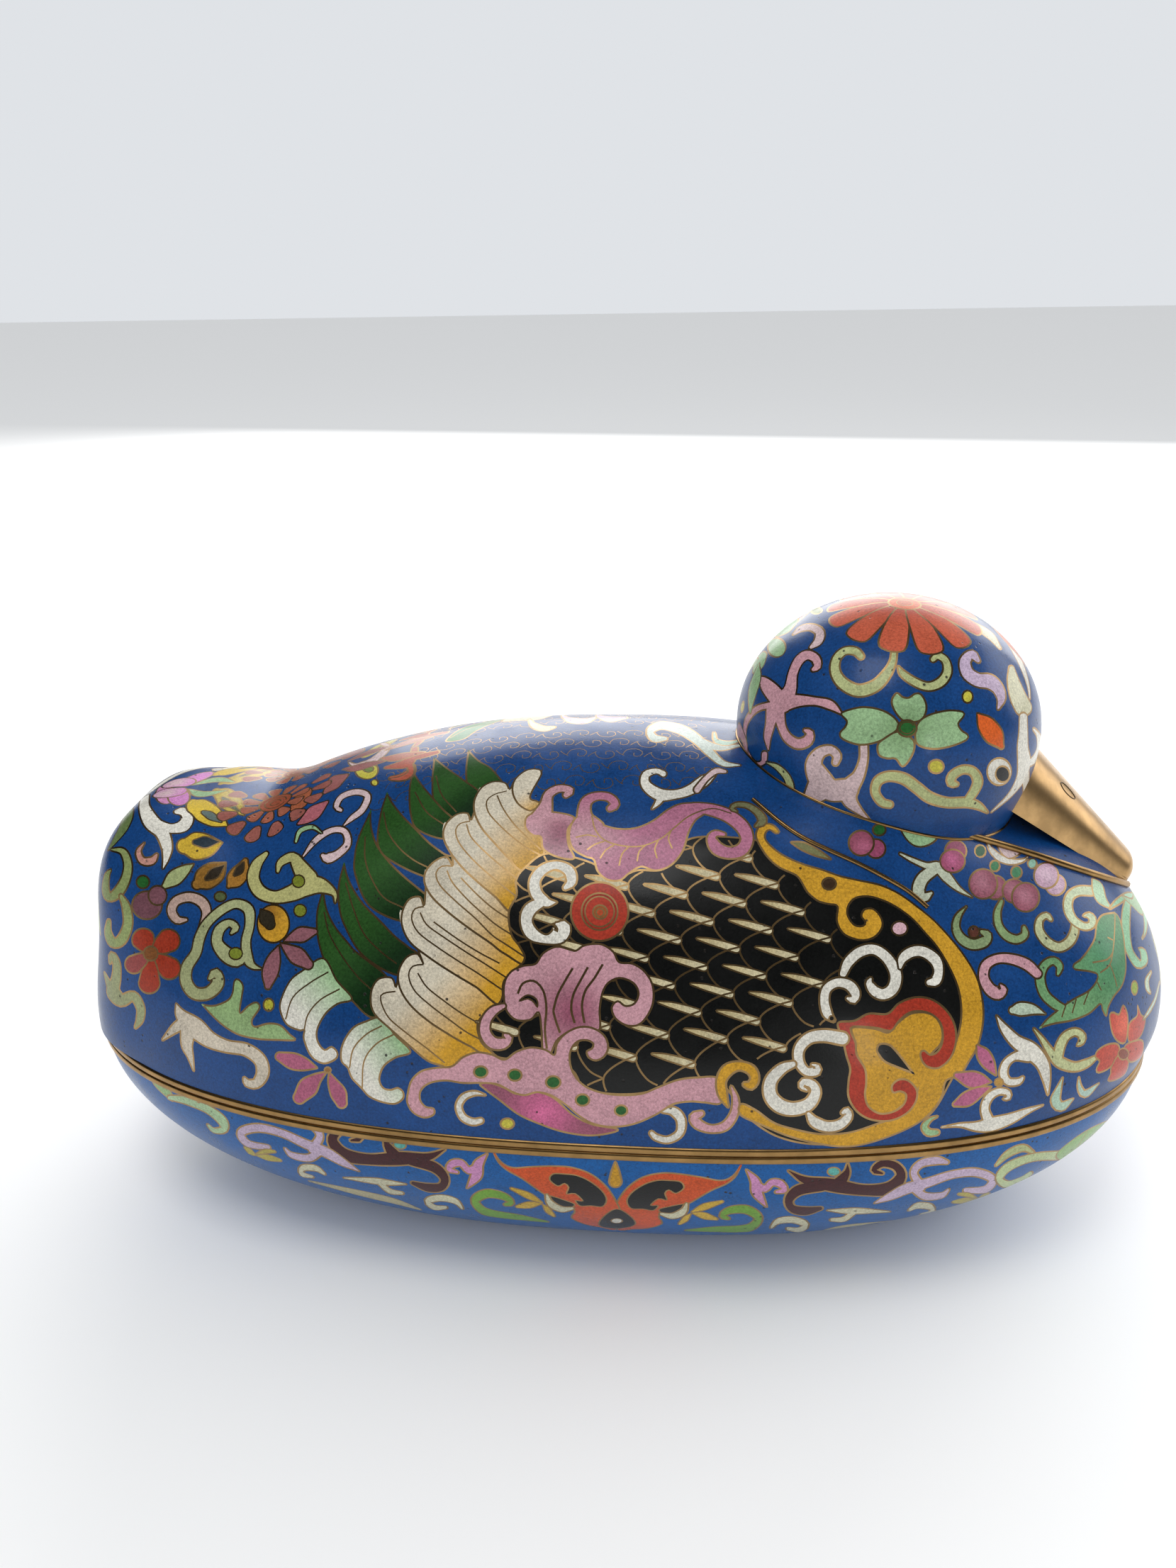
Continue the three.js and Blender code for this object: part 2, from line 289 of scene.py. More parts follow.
class BowlChart:
    """The bowl from its underside's middle outwards, with its sides unrolled."""

    steepest = math.asin(RIM_HEIGHT / BOWL_DEPTH)
    flattest = math.asin(BAND_HEIGHT / BOWL_DEPTH)
    unroll = 0.9
    half = np.array([HALF_LENGTH, HALF_WIDTH]) * UNDERSIDE_SHARE

    def oval_size(self, flat, size=1.0):
        """How many times as large as the underside the oval through each place is."""
        for _ in range(6):
            x = np.abs(flat[:, 0] / self.half[0])
            y = np.abs(flat[:, 1] / self.half[1] / (1 + OVAL_EGG * flat[:, 0] / size / self.half[0]))
            size = (x**OVAL_POWER + y**OVAL_POWER) ** (1 / OVAL_POWER) + TINY
        return size

    def flat(self, p):
        depth = np.clip((RIM_HEIGHT - p[:, 2]) / BOWL_DEPTH, 0, math.sin(self.steepest))
        bend = np.arcsin(depth)
        oval = (p[:, :2] - [CENTRE_X, 0]) / np.cos(bend)[:, None] * UNDERSIDE_SHARE
        return oval * (1 + (self.steepest - bend) / self.steepest * self.unroll)[:, None]

    def solid(self, flat):
        size = self.oval_size(flat)
        bend = self.steepest * (1 - (size - 1) / self.unroll)
        share = np.where(size < 1, UNDERSIDE_SHARE, np.cos(bend))
        oval = flat / np.maximum(size, 1)[:, None] / UNDERSIDE_SHARE * share[:, None]
        height = np.where(size < 1, 0, RIM_HEIGHT - BOWL_DEPTH * np.sin(bend))
        return np.column_stack([oval[:, 0] + CENTRE_X, oval[:, 1], height])

    def normals(self, p):
        n = outward(bowl_field, p)
        n[p[:, 2] < 0.01] = (0, 0, -1)
        return n


TORSO, HEAD_TOP, BOWL = TorsoChart(), HeadChart(), BowlChart()
FIELDS = {"torso": torso_field, "head": head_field, "bowl": bowl_field}
CHARTS = {"torso": TORSO, "head": HEAD_TOP, "bowl": BOWL}


def within(points, outline):
    """Which points an outline winds round."""
    turns = np.zeros(len(points))
    x, y = points[:, 0], points[:, 1]
    for (x0, y0), (x1, y1) in zip(outline, np.roll(outline, -1, 0)):
        if y0 == y1:
            continue
        level = (y0 <= y) & (y < y1) if y0 < y1 else (y1 <= y) & (y < y0)
        beyond = x < x0 + (y - y0) * (x1 - x0) / (y1 - y0)
        turns += (level & beyond) * (1 if y0 < y1 else -1)
    return turns != 0


def neck_line():
    """The crease where the head meets the lid's back and breast."""
    turn = np.linspace(0, 2 * math.pi, 300, endpoint=False)
    spread = np.column_stack([np.cos(turn), np.sin(turn)])
    middle = TORSO.flat(placed(HEAD)[None])
    near, far = np.full(len(turn), 2.0), np.full(len(turn), 75.0)
    for _ in range(22):
        reach = (near + far) / 2
        inside = head_field(TORSO.solid(middle + reach[:, None] * spread)) < 0
        near = np.where(inside, reach, near)
        far = np.where(inside, far, reach)
    return TORSO.solid(middle + near[:, None] * spread)


# Drawing, in pixels of the photograph or in millimetres of a plain view


def smooth(points, closed=False, step=None):
    """A smooth line through points of any number of columns, of which the first two are the place."""
    p = np.asarray(points, float)
    step = step or LINE_STEP * SHEET[2]
    if closed:
        p = np.vstack([p[-1], p, p[:2]])
    else:
        p = np.vstack([2 * p[0] - p[1], p, 2 * p[-1] - p[-2]])
    out = []
    for a, b, c, d in zip(p, p[1:], p[2:], p[3:]):
        count = max(2, math.ceil(math.dist(b[:2], c[:2]) / step))
        for t in np.arange(count) / count:
            curve = (2 * a - 5 * b + 4 * c - d) * t * t + (3 * b - a - 3 * c + d) * t**3
            out.append(b + ((c - a) * t + curve) / 2)
    if not closed:
        out.append(p[-2])
    return np.array(out)


def vine(*nodes):
    """A scroll's outline, from its middle line's nodes (x, y, half width). Blunt ends are round."""
    line = smooth(nodes)
    place, half = line[:, :2], np.maximum(line[:, 2], 0.7 * SHEET[2])
    along = np.gradient(place, axis=0)
    along /= np.linalg.norm(along, axis=1)[:, None] + TINY
    side = np.column_stack([-along[:, 1], along[:, 0]]) * half[:, None]
    caps = []
    for end in (-1, 0):
        turns = np.linspace(0, math.pi, max(3, int(half[end] / SHEET[2]) + 2))[1:-1]
        start = side[end] * (1 if end else -1)
        ahead = along[end] * half[end] * (1 if end else -1)
        caps.append([place[end] + start * math.cos(a) + ahead * math.sin(a) for a in turns])
    return np.vstack([place + side, caps[0], (place - side)[::-1], caps[1]])


def blob(*points):
    return smooth(points, closed=True)


def disc(x, y, radius, height=None):
    turns = np.linspace(0, 2 * math.pi, max(10, int(radius / SHEET[2] * 1.5)), endpoint=False)
    return np.column_stack([x + radius * np.cos(turns), y + (height or radius) * np.sin(turns)])


def drop(x0, y0, x1, y1, half):
    """A teardrop from its point to its round end."""
    x2, y2 = x0 + (x1 - x0) * 0.55, y0 + (y1 - y0) * 0.55
    return vine((x0, y0, 0.7), (x2, y2, half * 0.75), (x1, y1, half))


def petals(x, y, inner, outer, half, count, turn=0.0):
    """The petals of an open flower, of which the centre is left free."""
    shape = [(inner, 0.35), (inner + (outer - inner) * 0.45, 0.85), (outer - half * 0.5, 1.0), (outer, 0.45)]
    out = []
    for k in range(count):
        a = math.radians(turn) + 2 * math.pi * k / count
        reach = np.array([math.cos(a), math.sin(a)])
        side = np.array([-reach[1], reach[0]])
        left = [reach * r + side * half * w for r, w in shape]
        right = [reach * r - side * half * w for r, w in shape[::-1]]
        out.append(smooth(np.array(left + right), closed=True) + [x, y])
    return out


MOTIFS = []
SHEET = [0.0, 0.0, 1.0]
VIEW = ["photo"]


def use_sheet(left, top, enlarged):
    """Motifs are drawn on enlarged sheets of the photograph, given by left edge, top edge and scale."""
    SHEET[:] = left, top, enlarged
    VIEW[0] = "photo"


def use_view(view):
    """Motifs that the photograph doesn't show are drawn in millimetres on a plain view from one side."""
    SHEET[:] = 0.0, 0.0, PLAIN_SCALE
    VIEW[0] = view


def on_photo(points):
    scale = SHEET[2] if VIEW[0] == "photo" else 1.0
    return np.asarray(points, float)[:, :2] / scale + SHEET[:2]


def add_motif(part, colour, outlines, fade=None, glow=None, both=True, wire=WIRE, is_open=False):
    marks = [mark for wash in (fade, glow) if wash for mark in wash[1:]]
    motif = dict(part=part, view=VIEW[0], colour=colour, fade=fade, glow=glow, both=both)
    motif.update(wire=wire, open=is_open)
    motif["outlines"] = [on_photo(o) for o in outlines]
    motif["marks"] = on_photo(marks) if marks else None
    MOTIFS.append(motif)


def enamel(part, colour, *outlines, **finish):
    """Cells of one colour, joined where they overlap. fade is a second colour and the two places it runs
    between; glow is a second colour, its middle and a place on its edge."""
    add_motif(part, colour, outlines, **finish)


on_lid, on_head, on_bowl = (partial(enamel, part) for part in ("torso", "head", "bowl"))


def veins(*paths, part="torso", wire=WIRE * 0.75, **finish):
    """Single wires along paths."""
    lines = [smooth(path, step=WIRE_STEP * SHEET[2]) for path in paths]
    add_motif(part, None, lines, wire=wire, is_open=True, **finish)


def clipped(path, outline):
    """The stretches of a path that lie inside an outline."""
    runs, run = [], []
    for point, inside in zip(path, within(path, outline)):
        if inside:
            run.append(point)
        elif run:
            runs.append(np.array(run))
            run = []
    if run:
        runs.append(np.array(run))
    return [run for run in runs if len(run) > 2]


# Enamel colours, as they read in the photograph
GLASS_DEPTH = np.array([0.80, 0.78, 0.72])
COBALT = (14, 66, 130)
AZURE = (8, 90, 164)
BLACK = (19, 20, 20)
WHITE = (222, 220, 214)
CREAM = (206, 204, 178)
CREAM_GREEN = (178, 186, 134)
PALE_GREEN = (150, 186, 142)
GREEN = (36, 96, 42)
OLIVE = (120, 132, 44)
PINK = (198, 150, 164)
BLUSH = (208, 184, 190)
MAUVE = (146, 82, 106)
CORAL = (196, 92, 66)
RED = (170, 54, 36)
ORANGE = (214, 96, 34)
YELLOW = (202, 152, 40)
LEMON = (196, 188, 70)
MAROON = (66, 24, 28)
LILAC = (196, 176, 206)


def draw_clouds():
    """Small curls of thin wire in the ground of the back, as clouds."""
    use_view("top")
    curl = np.array([(-2.3, -0.4), (-1.6, 1.2), (0.2, 1.7), (1.5, 0.7), (1.1, -0.7), (-0.1, -0.7),
        (-0.1, 0.3)])
    for row, y in enumerate((-3.6, -7.6, -11.6, -15.6, -19.6)):
        for column in range(12):
            x = -45 + column * 5.4 + (row % 2) * 2.7
            turn = 1 if (row + column) % 2 else -1
            veins(curl * (1, turn) + (x, y), wire=0.17)
            veins([(x + 1.8, y - turn), (x + 2.6, y), (x + 3.4, y + turn * 0.6)], wire=0.17)


def draw_head():
    use_sheet(1000, 800, 2.8)
    # Scrolls over and round the cheek flower
    left_c = vine((600, 352, 15), (578, 332, 17), (535, 332, 16), (503, 365, 18), (500, 415, 21),
        (530, 460, 24), (590, 488, 25), (655, 470, 24), (700, 425, 20), (726, 375, 14), (733, 322, 12))
    right_c = vine((748, 392, 4), (765, 420, 14), (810, 452, 17), (865, 472, 18), (915, 455, 20),
        (942, 415, 19), (935, 370, 16), (905, 350, 15), (886, 364, 13))
    on_head(CREAM_GREEN, left_c)
    on_head(CREAM_GREEN, right_c)
    branch = [
        vine((260, 560, 34), (300, 520, 36), (322, 480, 26), (332, 420, 20), (355, 370, 20), (388, 347, 20),
            (422, 362, 20), (428, 392, 17), (412, 405, 10)),
        vine((290, 540, 38), (240, 480, 32), (205, 448, 18), (165, 468, 5)),
        vine((280, 540, 38), (350, 528, 26), (420, 530, 18), (480, 545, 20), (528, 582, 4)),
        vine((255, 560, 30), (243, 620, 20), (232, 670, 16), (235, 722, 4)),
        vine((275, 570, 26), (288, 630, 18), (312, 675, 20), (352, 698, 22), (390, 685, 22), (398, 655, 17),
            (380, 645, 9)),
        vine((240, 545, 14), (190, 560, 13), (155, 598, 11), (142, 650, 7), (150, 722, 6), (182, 775, 9),
            (215, 770, 12), (220, 738, 13))]
    on_head(PINK, *branch)
    on_head(BLUSH, vine((333, 266, 4), (365, 243, 12), (405, 238, 15), (438, 258, 20), (432, 292, 18),
        (402, 318, 8)))
    for oval in (vine((270, 262, 14), (305, 237, 22), (342, 208, 12)), disc(268, 318, 36, 38),
            vine((184, 412, 12), (200, 378, 20), (218, 345, 12))):
        on_head(PALE_GREEN, oval)
    on_head(OLIVE, disc(425, 172, 22, 14))
    lily = [
        vine((500, 772, 14), (506, 745, 18), (480, 722, 19), (438, 735, 24), (415, 780, 34), (440, 840, 46),
            (480, 880, 44), (540, 880, 44)),
        blob((382, 780), (400, 822), (388, 860), (368, 916), (368, 916), (430, 930), (470, 915), (500, 898),
            (560, 860), (500, 840), (430, 790)),
        vine((612, 708, 18), (611, 760, 18), (592, 822, 24), (555, 875, 38), (556, 920, 30), (590, 960, 16),
            (636, 1000, 3))]
    on_head(BLUSH, *lily)
    on_head(CREAM_GREEN, vine((228, 772, 4), (270, 790, 12), (308, 830, 15), (322, 875, 16), (308, 906, 13),
        (262, 885, 4)))
    on_head(WHITE, drop(378, 1012, 485, 1012, 20))
    # Four-petalled flower
    flower = [
        blob((745, 640), (742, 605), (690, 568), (610, 553), (535, 570), (524, 584), (545, 608), (538, 632),
            (518, 655), (530, 680), (600, 702), (680, 685)),
        blob((775, 610), (738, 575), (722, 530), (742, 497), (765, 513), (790, 516), (815, 500), (838, 503),
            (858, 540), (855, 580), (830, 608)),
        blob((822, 625), (862, 588), (940, 567), (1003, 572), (1006, 590), (985, 618), (998, 645),
            (1022, 662), (1018, 682), (955, 708), (880, 718), (820, 695)),
        blob((748, 650), (692, 678), (667, 702), (672, 742), (705, 756), (738, 757), (764, 788), (790, 765),
            (811, 720), (805, 680))]
    for petal in flower:
        on_head(PALE_GREEN, petal, glow=((118, 152, 108), (783, 635), (640, 635)))
    on_head(GREEN, disc(783, 637, 38, 33))
    veins(disc(783, 635, 28, 23), part="head", wire=0.2)
    # Beneath the eye
    scroll = [
        vine((714, 938, 15), (682, 928, 17), (657, 888, 17), (668, 845, 19), (712, 826, 20), (770, 836, 22),
            (822, 872, 22), (872, 910, 22), (940, 930, 20), (1015, 930, 20), (1062, 942, 16), (1102, 970, 4)),
        vine((1020, 925, 16), (1048, 885, 18), (1062, 845, 20), (1043, 808, 18), (1002, 800, 17),
            (962, 824, 18), (958, 852, 18), (978, 858, 10))]
    on_head(CREAM_GREEN, *scroll)
    on_head(LEMON, disc(898, 788, 30, 27))
    on_head(LEMON, disc(1022, 512, 21, 25))
    on_head(ORANGE, vine((1062, 580, 5), (1092, 618, 34), (1128, 668, 38), (1155, 708, 12)))
    on_head(WHITE, disc(1147, 808, 48, 54))
    on_head(BLACK, disc(1160, 818, 28, 32))
    on_head(LILAC, vine((1064, 370, 10), (1040, 346, 20), (1012, 372, 24), (1022, 418, 26), (1062, 446, 28),
        (1108, 452, 30), (1142, 480, 24), (1155, 520, 18), (1143, 560, 6)))
    # Forehead
    on_head(CREAM, vine((1195, 400, 12), (1202, 450, 24), (1220, 510, 32), (1242, 555, 34)))
    brow = [
        vine((1242, 590, 16), (1242, 650, 18), (1240, 710, 22), (1245, 770, 26), (1232, 835, 18),
            (1188, 902, 9), (1116, 968, 3)),
        vine((1284, 640, 6), (1303, 668, 9), (1305, 720, 11), (1284, 762, 14), (1250, 780, 16)),
        vine((1245, 800, 20), (1252, 860, 13), (1244, 928, 4))]
    on_head(WHITE, *brow)
    on_head(CREAM, vine((985, 205, 6), (1050, 232, 12), (1110, 270, 14), (1150, 320, 6)))
    on_head(WHITE, vine((1160, 268, 4), (1206, 330, 9), (1240, 400, 8), (1262, 470, 5), (1268, 520, 3)))


FEATHER_NODE = np.array([1097.6, 1246.0])
FEATHER_DOWN = np.array([37.1, 38.1])
FEATHER_BACK = np.array([-45.8, 25.9])


def feather_place(down, back):
    """A feather's tip, on the photograph. Far back the rows sink a little."""
    place = FEATHER_NODE + down * FEATHER_DOWN + back * FEATHER_BACK
    place[1] += 3.0 * max(back - 4, 0) * max(down, 0)
    return place


def draw_wing():
    use_sheet(560, 1080, 1568 / 540)
    # Long feathers, white at their curled tips and yellow at their roots
    edges = [
        [(592, 34), (570, 14), (525, 22), (482, 60), (474, 110), (498, 158), (545, 185), (592, 178)],
        [(462, 98), (445, 72), (395, 66), (345, 92), (317, 145), (320, 200), (350, 260), (400, 318),
            (450, 372), (515, 430)],
        [(305, 222), (290, 196), (245, 200), (202, 238), (190, 290), (215, 350), (270, 420), (340, 485),
            (400, 535), (480, 600)],
        [(230, 408), (205, 375), (160, 388), (120, 430), (113, 480), (145, 540), (215, 605), (300, 670),
            (380, 725), (440, 770), (545, 815)],
        [(112, 572), (95, 538), (50, 548), (22, 600), (22, 660), (55, 725), (130, 785), (220, 845),
            (320, 905), (450, 985)],
        [(108, 812), (85, 772), (40, 785), (8, 840), (10, 905), (50, 975), (120, 1040), (210, 1100),
            (300, 1150), (400, 1190)],
        [(-4, 908), (-21, 870), (-76, 875), (-106, 930), (-96, 1010), (-26, 1080), (54, 1150), (124, 1208),
            (180, 1228), (240, 1240)]]
    fades = [((500, 120), (570, 190)), ((400, 210), (560, 350)), ((290, 380), (455, 520)),
        ((270, 560), (450, 730)), ((190, 720), (390, 880)), ((140, 900), (310, 1075)),
        ((-10, 1010), (170, 1190))]
    roots = [(620, 330), (600, 370), (530, 440), (520, 620), (560, 800), (470, 980), (400, 1160)]
    for k in range(6, -1, -1):
        above = edges[k - 1] if k else [(592, 34), (555, 45), (530, 80), (545, 130), (592, 165)]
        outline = edges[k] + [roots[k]] + above[:2:-1]
        on_lid((208, 200, 184), smooth(outline, closed=True), fade=(YELLOW, *fades[k]))
    quills = [
        [[(450, 104), (400, 118), (368, 145), (374, 190), (412, 236), (470, 290), (530, 335), (590, 368)],
            [(410, 122), (436, 178), (480, 240), (530, 290), (590, 345)]],
        [[(300, 228), (262, 236), (241, 262), (252, 312), (302, 376), (370, 440), (430, 490), (500, 545)],
            [(285, 240), (302, 290), (352, 345), (420, 405), (500, 470)]],
        [
            [(225, 412), (185, 412), (160, 440), (176, 490), (240, 555), (320, 625), (390, 695), (450, 735),
                (540, 795)],
            [(205, 430), (228, 480), (290, 550), (350, 605), (410, 655), (490, 705)],
            [(262, 460), (330, 530), (400, 590), (480, 640)]],
        [
            [(110, 578), (75, 586), (60, 625), (86, 682), (160, 740), (250, 800), (330, 850), (440, 925)],
            [(95, 602), (122, 652), (190, 702), (280, 762), (360, 812), (450, 870)],
            [(150, 640), (240, 705), (330, 762), (420, 810)]],
        [[(105, 815), (65, 822), (48, 860), (72, 922), (140, 985), (220, 1045), (290, 1095), (380, 1140)],
            [(85, 850), (122, 907), (190, 962), (260, 1012), (345, 1062)]],
        [[(-6, 925), (-56, 934), (-67, 960), (-36, 1030), (34, 1092), (114, 1152), (196, 1218)]]]
    for pair in quills:
        veins(*pair)

    # Dark ground of the wing, with its rows of feathers
    ground = blob((620, 360), (525, 418), (488, 470), (490, 532), (458, 600), (468, 690), (505, 745),
        (520, 800), (440, 880), (425, 965), (335, 1045), (342, 1125), (380, 1165), (440, 1200), (620, 1190),
        (720, 1250), (760, 1310), (850, 1342), (1000, 1342), (1150, 1300), (1300, 1290), (1372, 1350),
        (1420, 1425), (1560, 1520), (1750, 1552), (1980, 1510), (2170, 1440), (2270, 1290), (2350, 1130),
        (2350, 930), (2270, 760), (2120, 620), (1980, 520), (1740, 445), (1620, 415), (1500, 330),
        (1440, 300), (1200, 300), (1100, 420), (980, 430), (880, 470), (800, 400))
    on_lid(BLACK, ground)
    ground = on_photo(ground)
    use_sheet(960, 1120, 1568 / 520)
    feathered = on_photo([(-900, -200), (250, -100), (330, 240), (420, 330), (500, 350), (540, 430),
        (590, 470), (665, 480), (680, 570), (740, 640), (700, 700), (670, 780), (600, 830), (590, 900),
        (640, 970), (540, 1000), (490, 1060), (430, 1115), (300, 1140), (180, 1150), (150, 1230), (0, 1230),
        (-900, 1400)])
    use_sheet(0, 0, 1.0)
    for back in range(-4, 9):
        for down in range(-6, 9):
            tip = feather_place(down, back)
            up, low = feather_place(down, back - 1), feather_place(down + 1, back)
            arch = [up, up + (tip - up) * 0.35 + (-2, -4), up + (tip - up) * 0.75 + (-2, -5), tip,
                tip + (low - tip) * 0.3 + (-7, 4), tip + (low - tip) * 0.68 + (-7, 5), low]
            for run in clipped(smooth(arch, step=7), ground):
                for piece in clipped(run, feathered):
                    add_motif("torso", None, [piece], wire=0.34, is_open=True)
            spear_ends = np.array([tip, tip + (-56, -12)])
            if within(spear_ends, ground).all() and within(spear_ends, feathered).all():
                spear = vine((tip[0] - 60, tip[1] - 12, 1.4), (tip[0] - 42, tip[1] - 8, 4.2),
                    (tip[0] - 20, tip[1] - 2, 5.4), (tip[0] - 4, tip[1] + 3, 5.4))
                on_lid((208, 200, 170), spear, fade=((184, 166, 120), tip, tip + (-60, -12)), wire=0.3)
    use_sheet(560, 1080, 1568 / 540)

    # Cloud scrolls, disc and plume behind the rows of feathers
    on_lid(WHITE,
        vine((690, 500, 12), (714, 476, 22), (705, 432, 24), (655, 408, 19), (600, 425, 22), (565, 470, 24),
            (572, 525, 26), (612, 560, 22), (655, 560, 3)),
        vine((600, 555, 20), (545, 590, 28), (530, 640, 26), (555, 690, 28), (612, 712, 20), (662, 696, 36),
            (678, 662, 34), (655, 650, 10)))
    on_lid(RED, disc(830, 598, 118, 120))
    on_lid((150, 44, 26), disc(830, 598, 74, 76), wire=0.3)
    on_lid(RED, disc(830, 598, 60, 62), wire=0.25)
    on_lid((150, 82, 36), disc(832, 600, 30, 29), wire=0.3)
    on_lid((176, 72, 34), disc(832, 602, 16, 16), wire=0.25)
    on_lid(PINK,
        vine((692, 120, 14), (712, 102, 16), (665, 94, 16), (622, 118, 20), (610, 165, 28), (590, 225, 50)),
        blob((525, 240), (532, 210), (570, 192), (640, 190), (725, 212), (700, 262), (702, 322), (725, 380),
            (660, 375), (600, 342), (590, 292), (560, 286), (532, 264)), glow=(MAUVE, (670, 280), (560, 240)))
    plume = [
        vine((872, 176, 14), (893, 158, 20), (868, 130, 18), (815, 126, 18), (775, 150, 24), (768, 205, 32),
            (790, 260, 60)),
        blob((745, 205), (715, 240), (705, 290), (722, 342), (770, 372), (806, 385), (822, 432), (860, 466),
            (912, 470), (952, 440), (1000, 414), (1060, 430), (1122, 408), (1170, 350), (1196, 270),
            (1225, 222), (1262, 195), (1262, 158), (1170, 155), (1110, 180), (1050, 225), (980, 255),
            (900, 258), (830, 236), (795, 200)),
        vine((1180, 190, 36), (1238, 175, 24), (1306, 186, 26), (1368, 212, 28), (1418, 256, 29),
            (1434, 304, 27), (1410, 346, 27), (1358, 357, 25), (1310, 338, 27), (1289, 299, 21),
            (1306, 278, 14), (1340, 282, 9))]
    on_lid((178, 112, 142), *plume, glow=(PINK, (770, 290), (1010, 330)))
    veins([(798, 205), (812, 262), (850, 305), (920, 328), (1000, 330), (1080, 300), (1130, 260), (1200, 205),
        (1290, 176), (1370, 196)], [(820, 292), (780, 284), (732, 294)], [(850, 310), (812, 322), (778, 345)],
        [(890, 325), (856, 345), (832, 380)], [(950, 332), (922, 362), (910, 410)],
        [(1020, 325), (992, 352), (984, 392)], [(1070, 308), (1056, 340), (1066, 380)],
        [(1122, 268), (1112, 300), (1128, 340)])
    on_lid(WHITE, vine((1092, 34, 14), (1062, 22, 12), (1020, 38, 18), (1020, 80, 22), (1075, 118, 26),
        (1140, 118, 20), (1200, 100, 22), (1262, 60, 24), (1300, 40, 8)),
        vine((1085, 120, 22), (1070, 150, 14), (1045, 178, 4)))

    # Cloud head with its striped stem
    on_lid(PINK, blob((438, 945), (442, 885), (470, 842), (520, 820), (568, 812), (600, 768), (655, 742),
        (715, 756), (735, 758), (770, 736), (835, 732), (885, 762), (910, 805), (965, 812), (1015, 845),
        (1048, 905), (1045, 985), (1000, 1055), (945, 1065), (895, 1035), (880, 990), (905, 965), (935, 985),
        (972, 975), (990, 935), (970, 892), (915, 870), (868, 888), (842, 930), (830, 1000), (826, 1085),
        (740, 1075), (660, 1120), (628, 1180), (598, 1165), (592, 1080), (580, 1010), (548, 1040),
        (490, 1042), (450, 1005)), glow=(MAUVE, (715, 1010), (700, 780)))
    on_lid(BLACK, blob((500, 965), (535, 940), (572, 958), (575, 990), (560, 968), (535, 955)), wire=0.3)
    veins([(720, 830), (690, 880), (658, 940), (640, 1005)],
        [(782, 826), (752, 880), (722, 940), (714, 1000), (728, 1055)],
        [(843, 814), (808, 872), (772, 922), (758, 985), (768, 1055)], [(495, 935), (515, 893), (560, 882),
        (598, 920), (612, 990), (606, 1080), (614, 1160)], [(640, 1005), (652, 1050), (668, 1095)], wire=0.42)
    on_lid(PINK, vine((436, 985, 12), (395, 1005, 20), (365, 1045, 22), (362, 1095, 24), (392, 1135, 26),
        (435, 1138, 24), (456, 1115, 18), (442, 1104, 9)))

    # Ribbon along the foot of the wing
    on_lid(MAUVE, blob((340, 1305), (380, 1300), (440, 1320), (490, 1345), (560, 1335), (640, 1360),
        (720, 1430), (800, 1470), (905, 1490), (860, 1508), (780, 1515), (680, 1500), (590, 1470),
        (500, 1430), (420, 1370), (360, 1325)), glow=((206, 104, 152), (600, 1420), (420, 1360)))
    on_lid(WHITE, vine((362, 1350, 3), (320, 1342, 10), (275, 1357, 14), (253, 1396, 14), (270, 1440, 15),
        (310, 1460, 15), (343, 1455, 13)))
    on_lid(LEMON, disc(452, 1467, 28, 22))
    on_lid(WHITE, vine((1085, 1418, 5), (1130, 1415, 19), (1163, 1450, 20), (1158, 1505, 17),
        (1110, 1533, 15), (1062, 1523, 14), (1043, 1506, 11)))
    ribbon = blob((45, 1340), (60, 1290), (100, 1252), (160, 1238), (225, 1232), (270, 1195), (330, 1175),
        (390, 1185), (440, 1205), (490, 1172), (550, 1155), (610, 1165), (645, 1185), (655, 1140),
        (690, 1098), (745, 1072), (800, 1075), (848, 1105), (865, 1150), (850, 1190), (815, 1208),
        (785, 1195), (778, 1170), (798, 1160), (805, 1140), (780, 1125), (740, 1130), (712, 1165),
        (708, 1215), (725, 1265), (765, 1310), (830, 1338), (910, 1350), (1000, 1345), (1070, 1318),
        (1150, 1288), (1230, 1278), (1318, 1284), (1328, 1380), (1260, 1380), (1200, 1376), (1130, 1388),
        (1060, 1430), (970, 1468), (880, 1480), (800, 1465), (740, 1430), (690, 1388), (630, 1350),
        (575, 1338), (520, 1350), (470, 1335), (410, 1305), (340, 1300), (270, 1300), (200, 1290),
        (135, 1300), (98, 1330), (95, 1370), (118, 1398), (150, 1405), (150, 1430), (110, 1442), (65, 1420),
        (42, 1380))
    on_lid(PINK, ribbon)
    for x, y, radius in ((343, 1255, 28), (483, 1268, 28), (640, 1297, 30), (760, 1370, 28), (918, 1413, 26)):
        on_lid(GREEN, disc(x, y, radius, radius * 0.85))

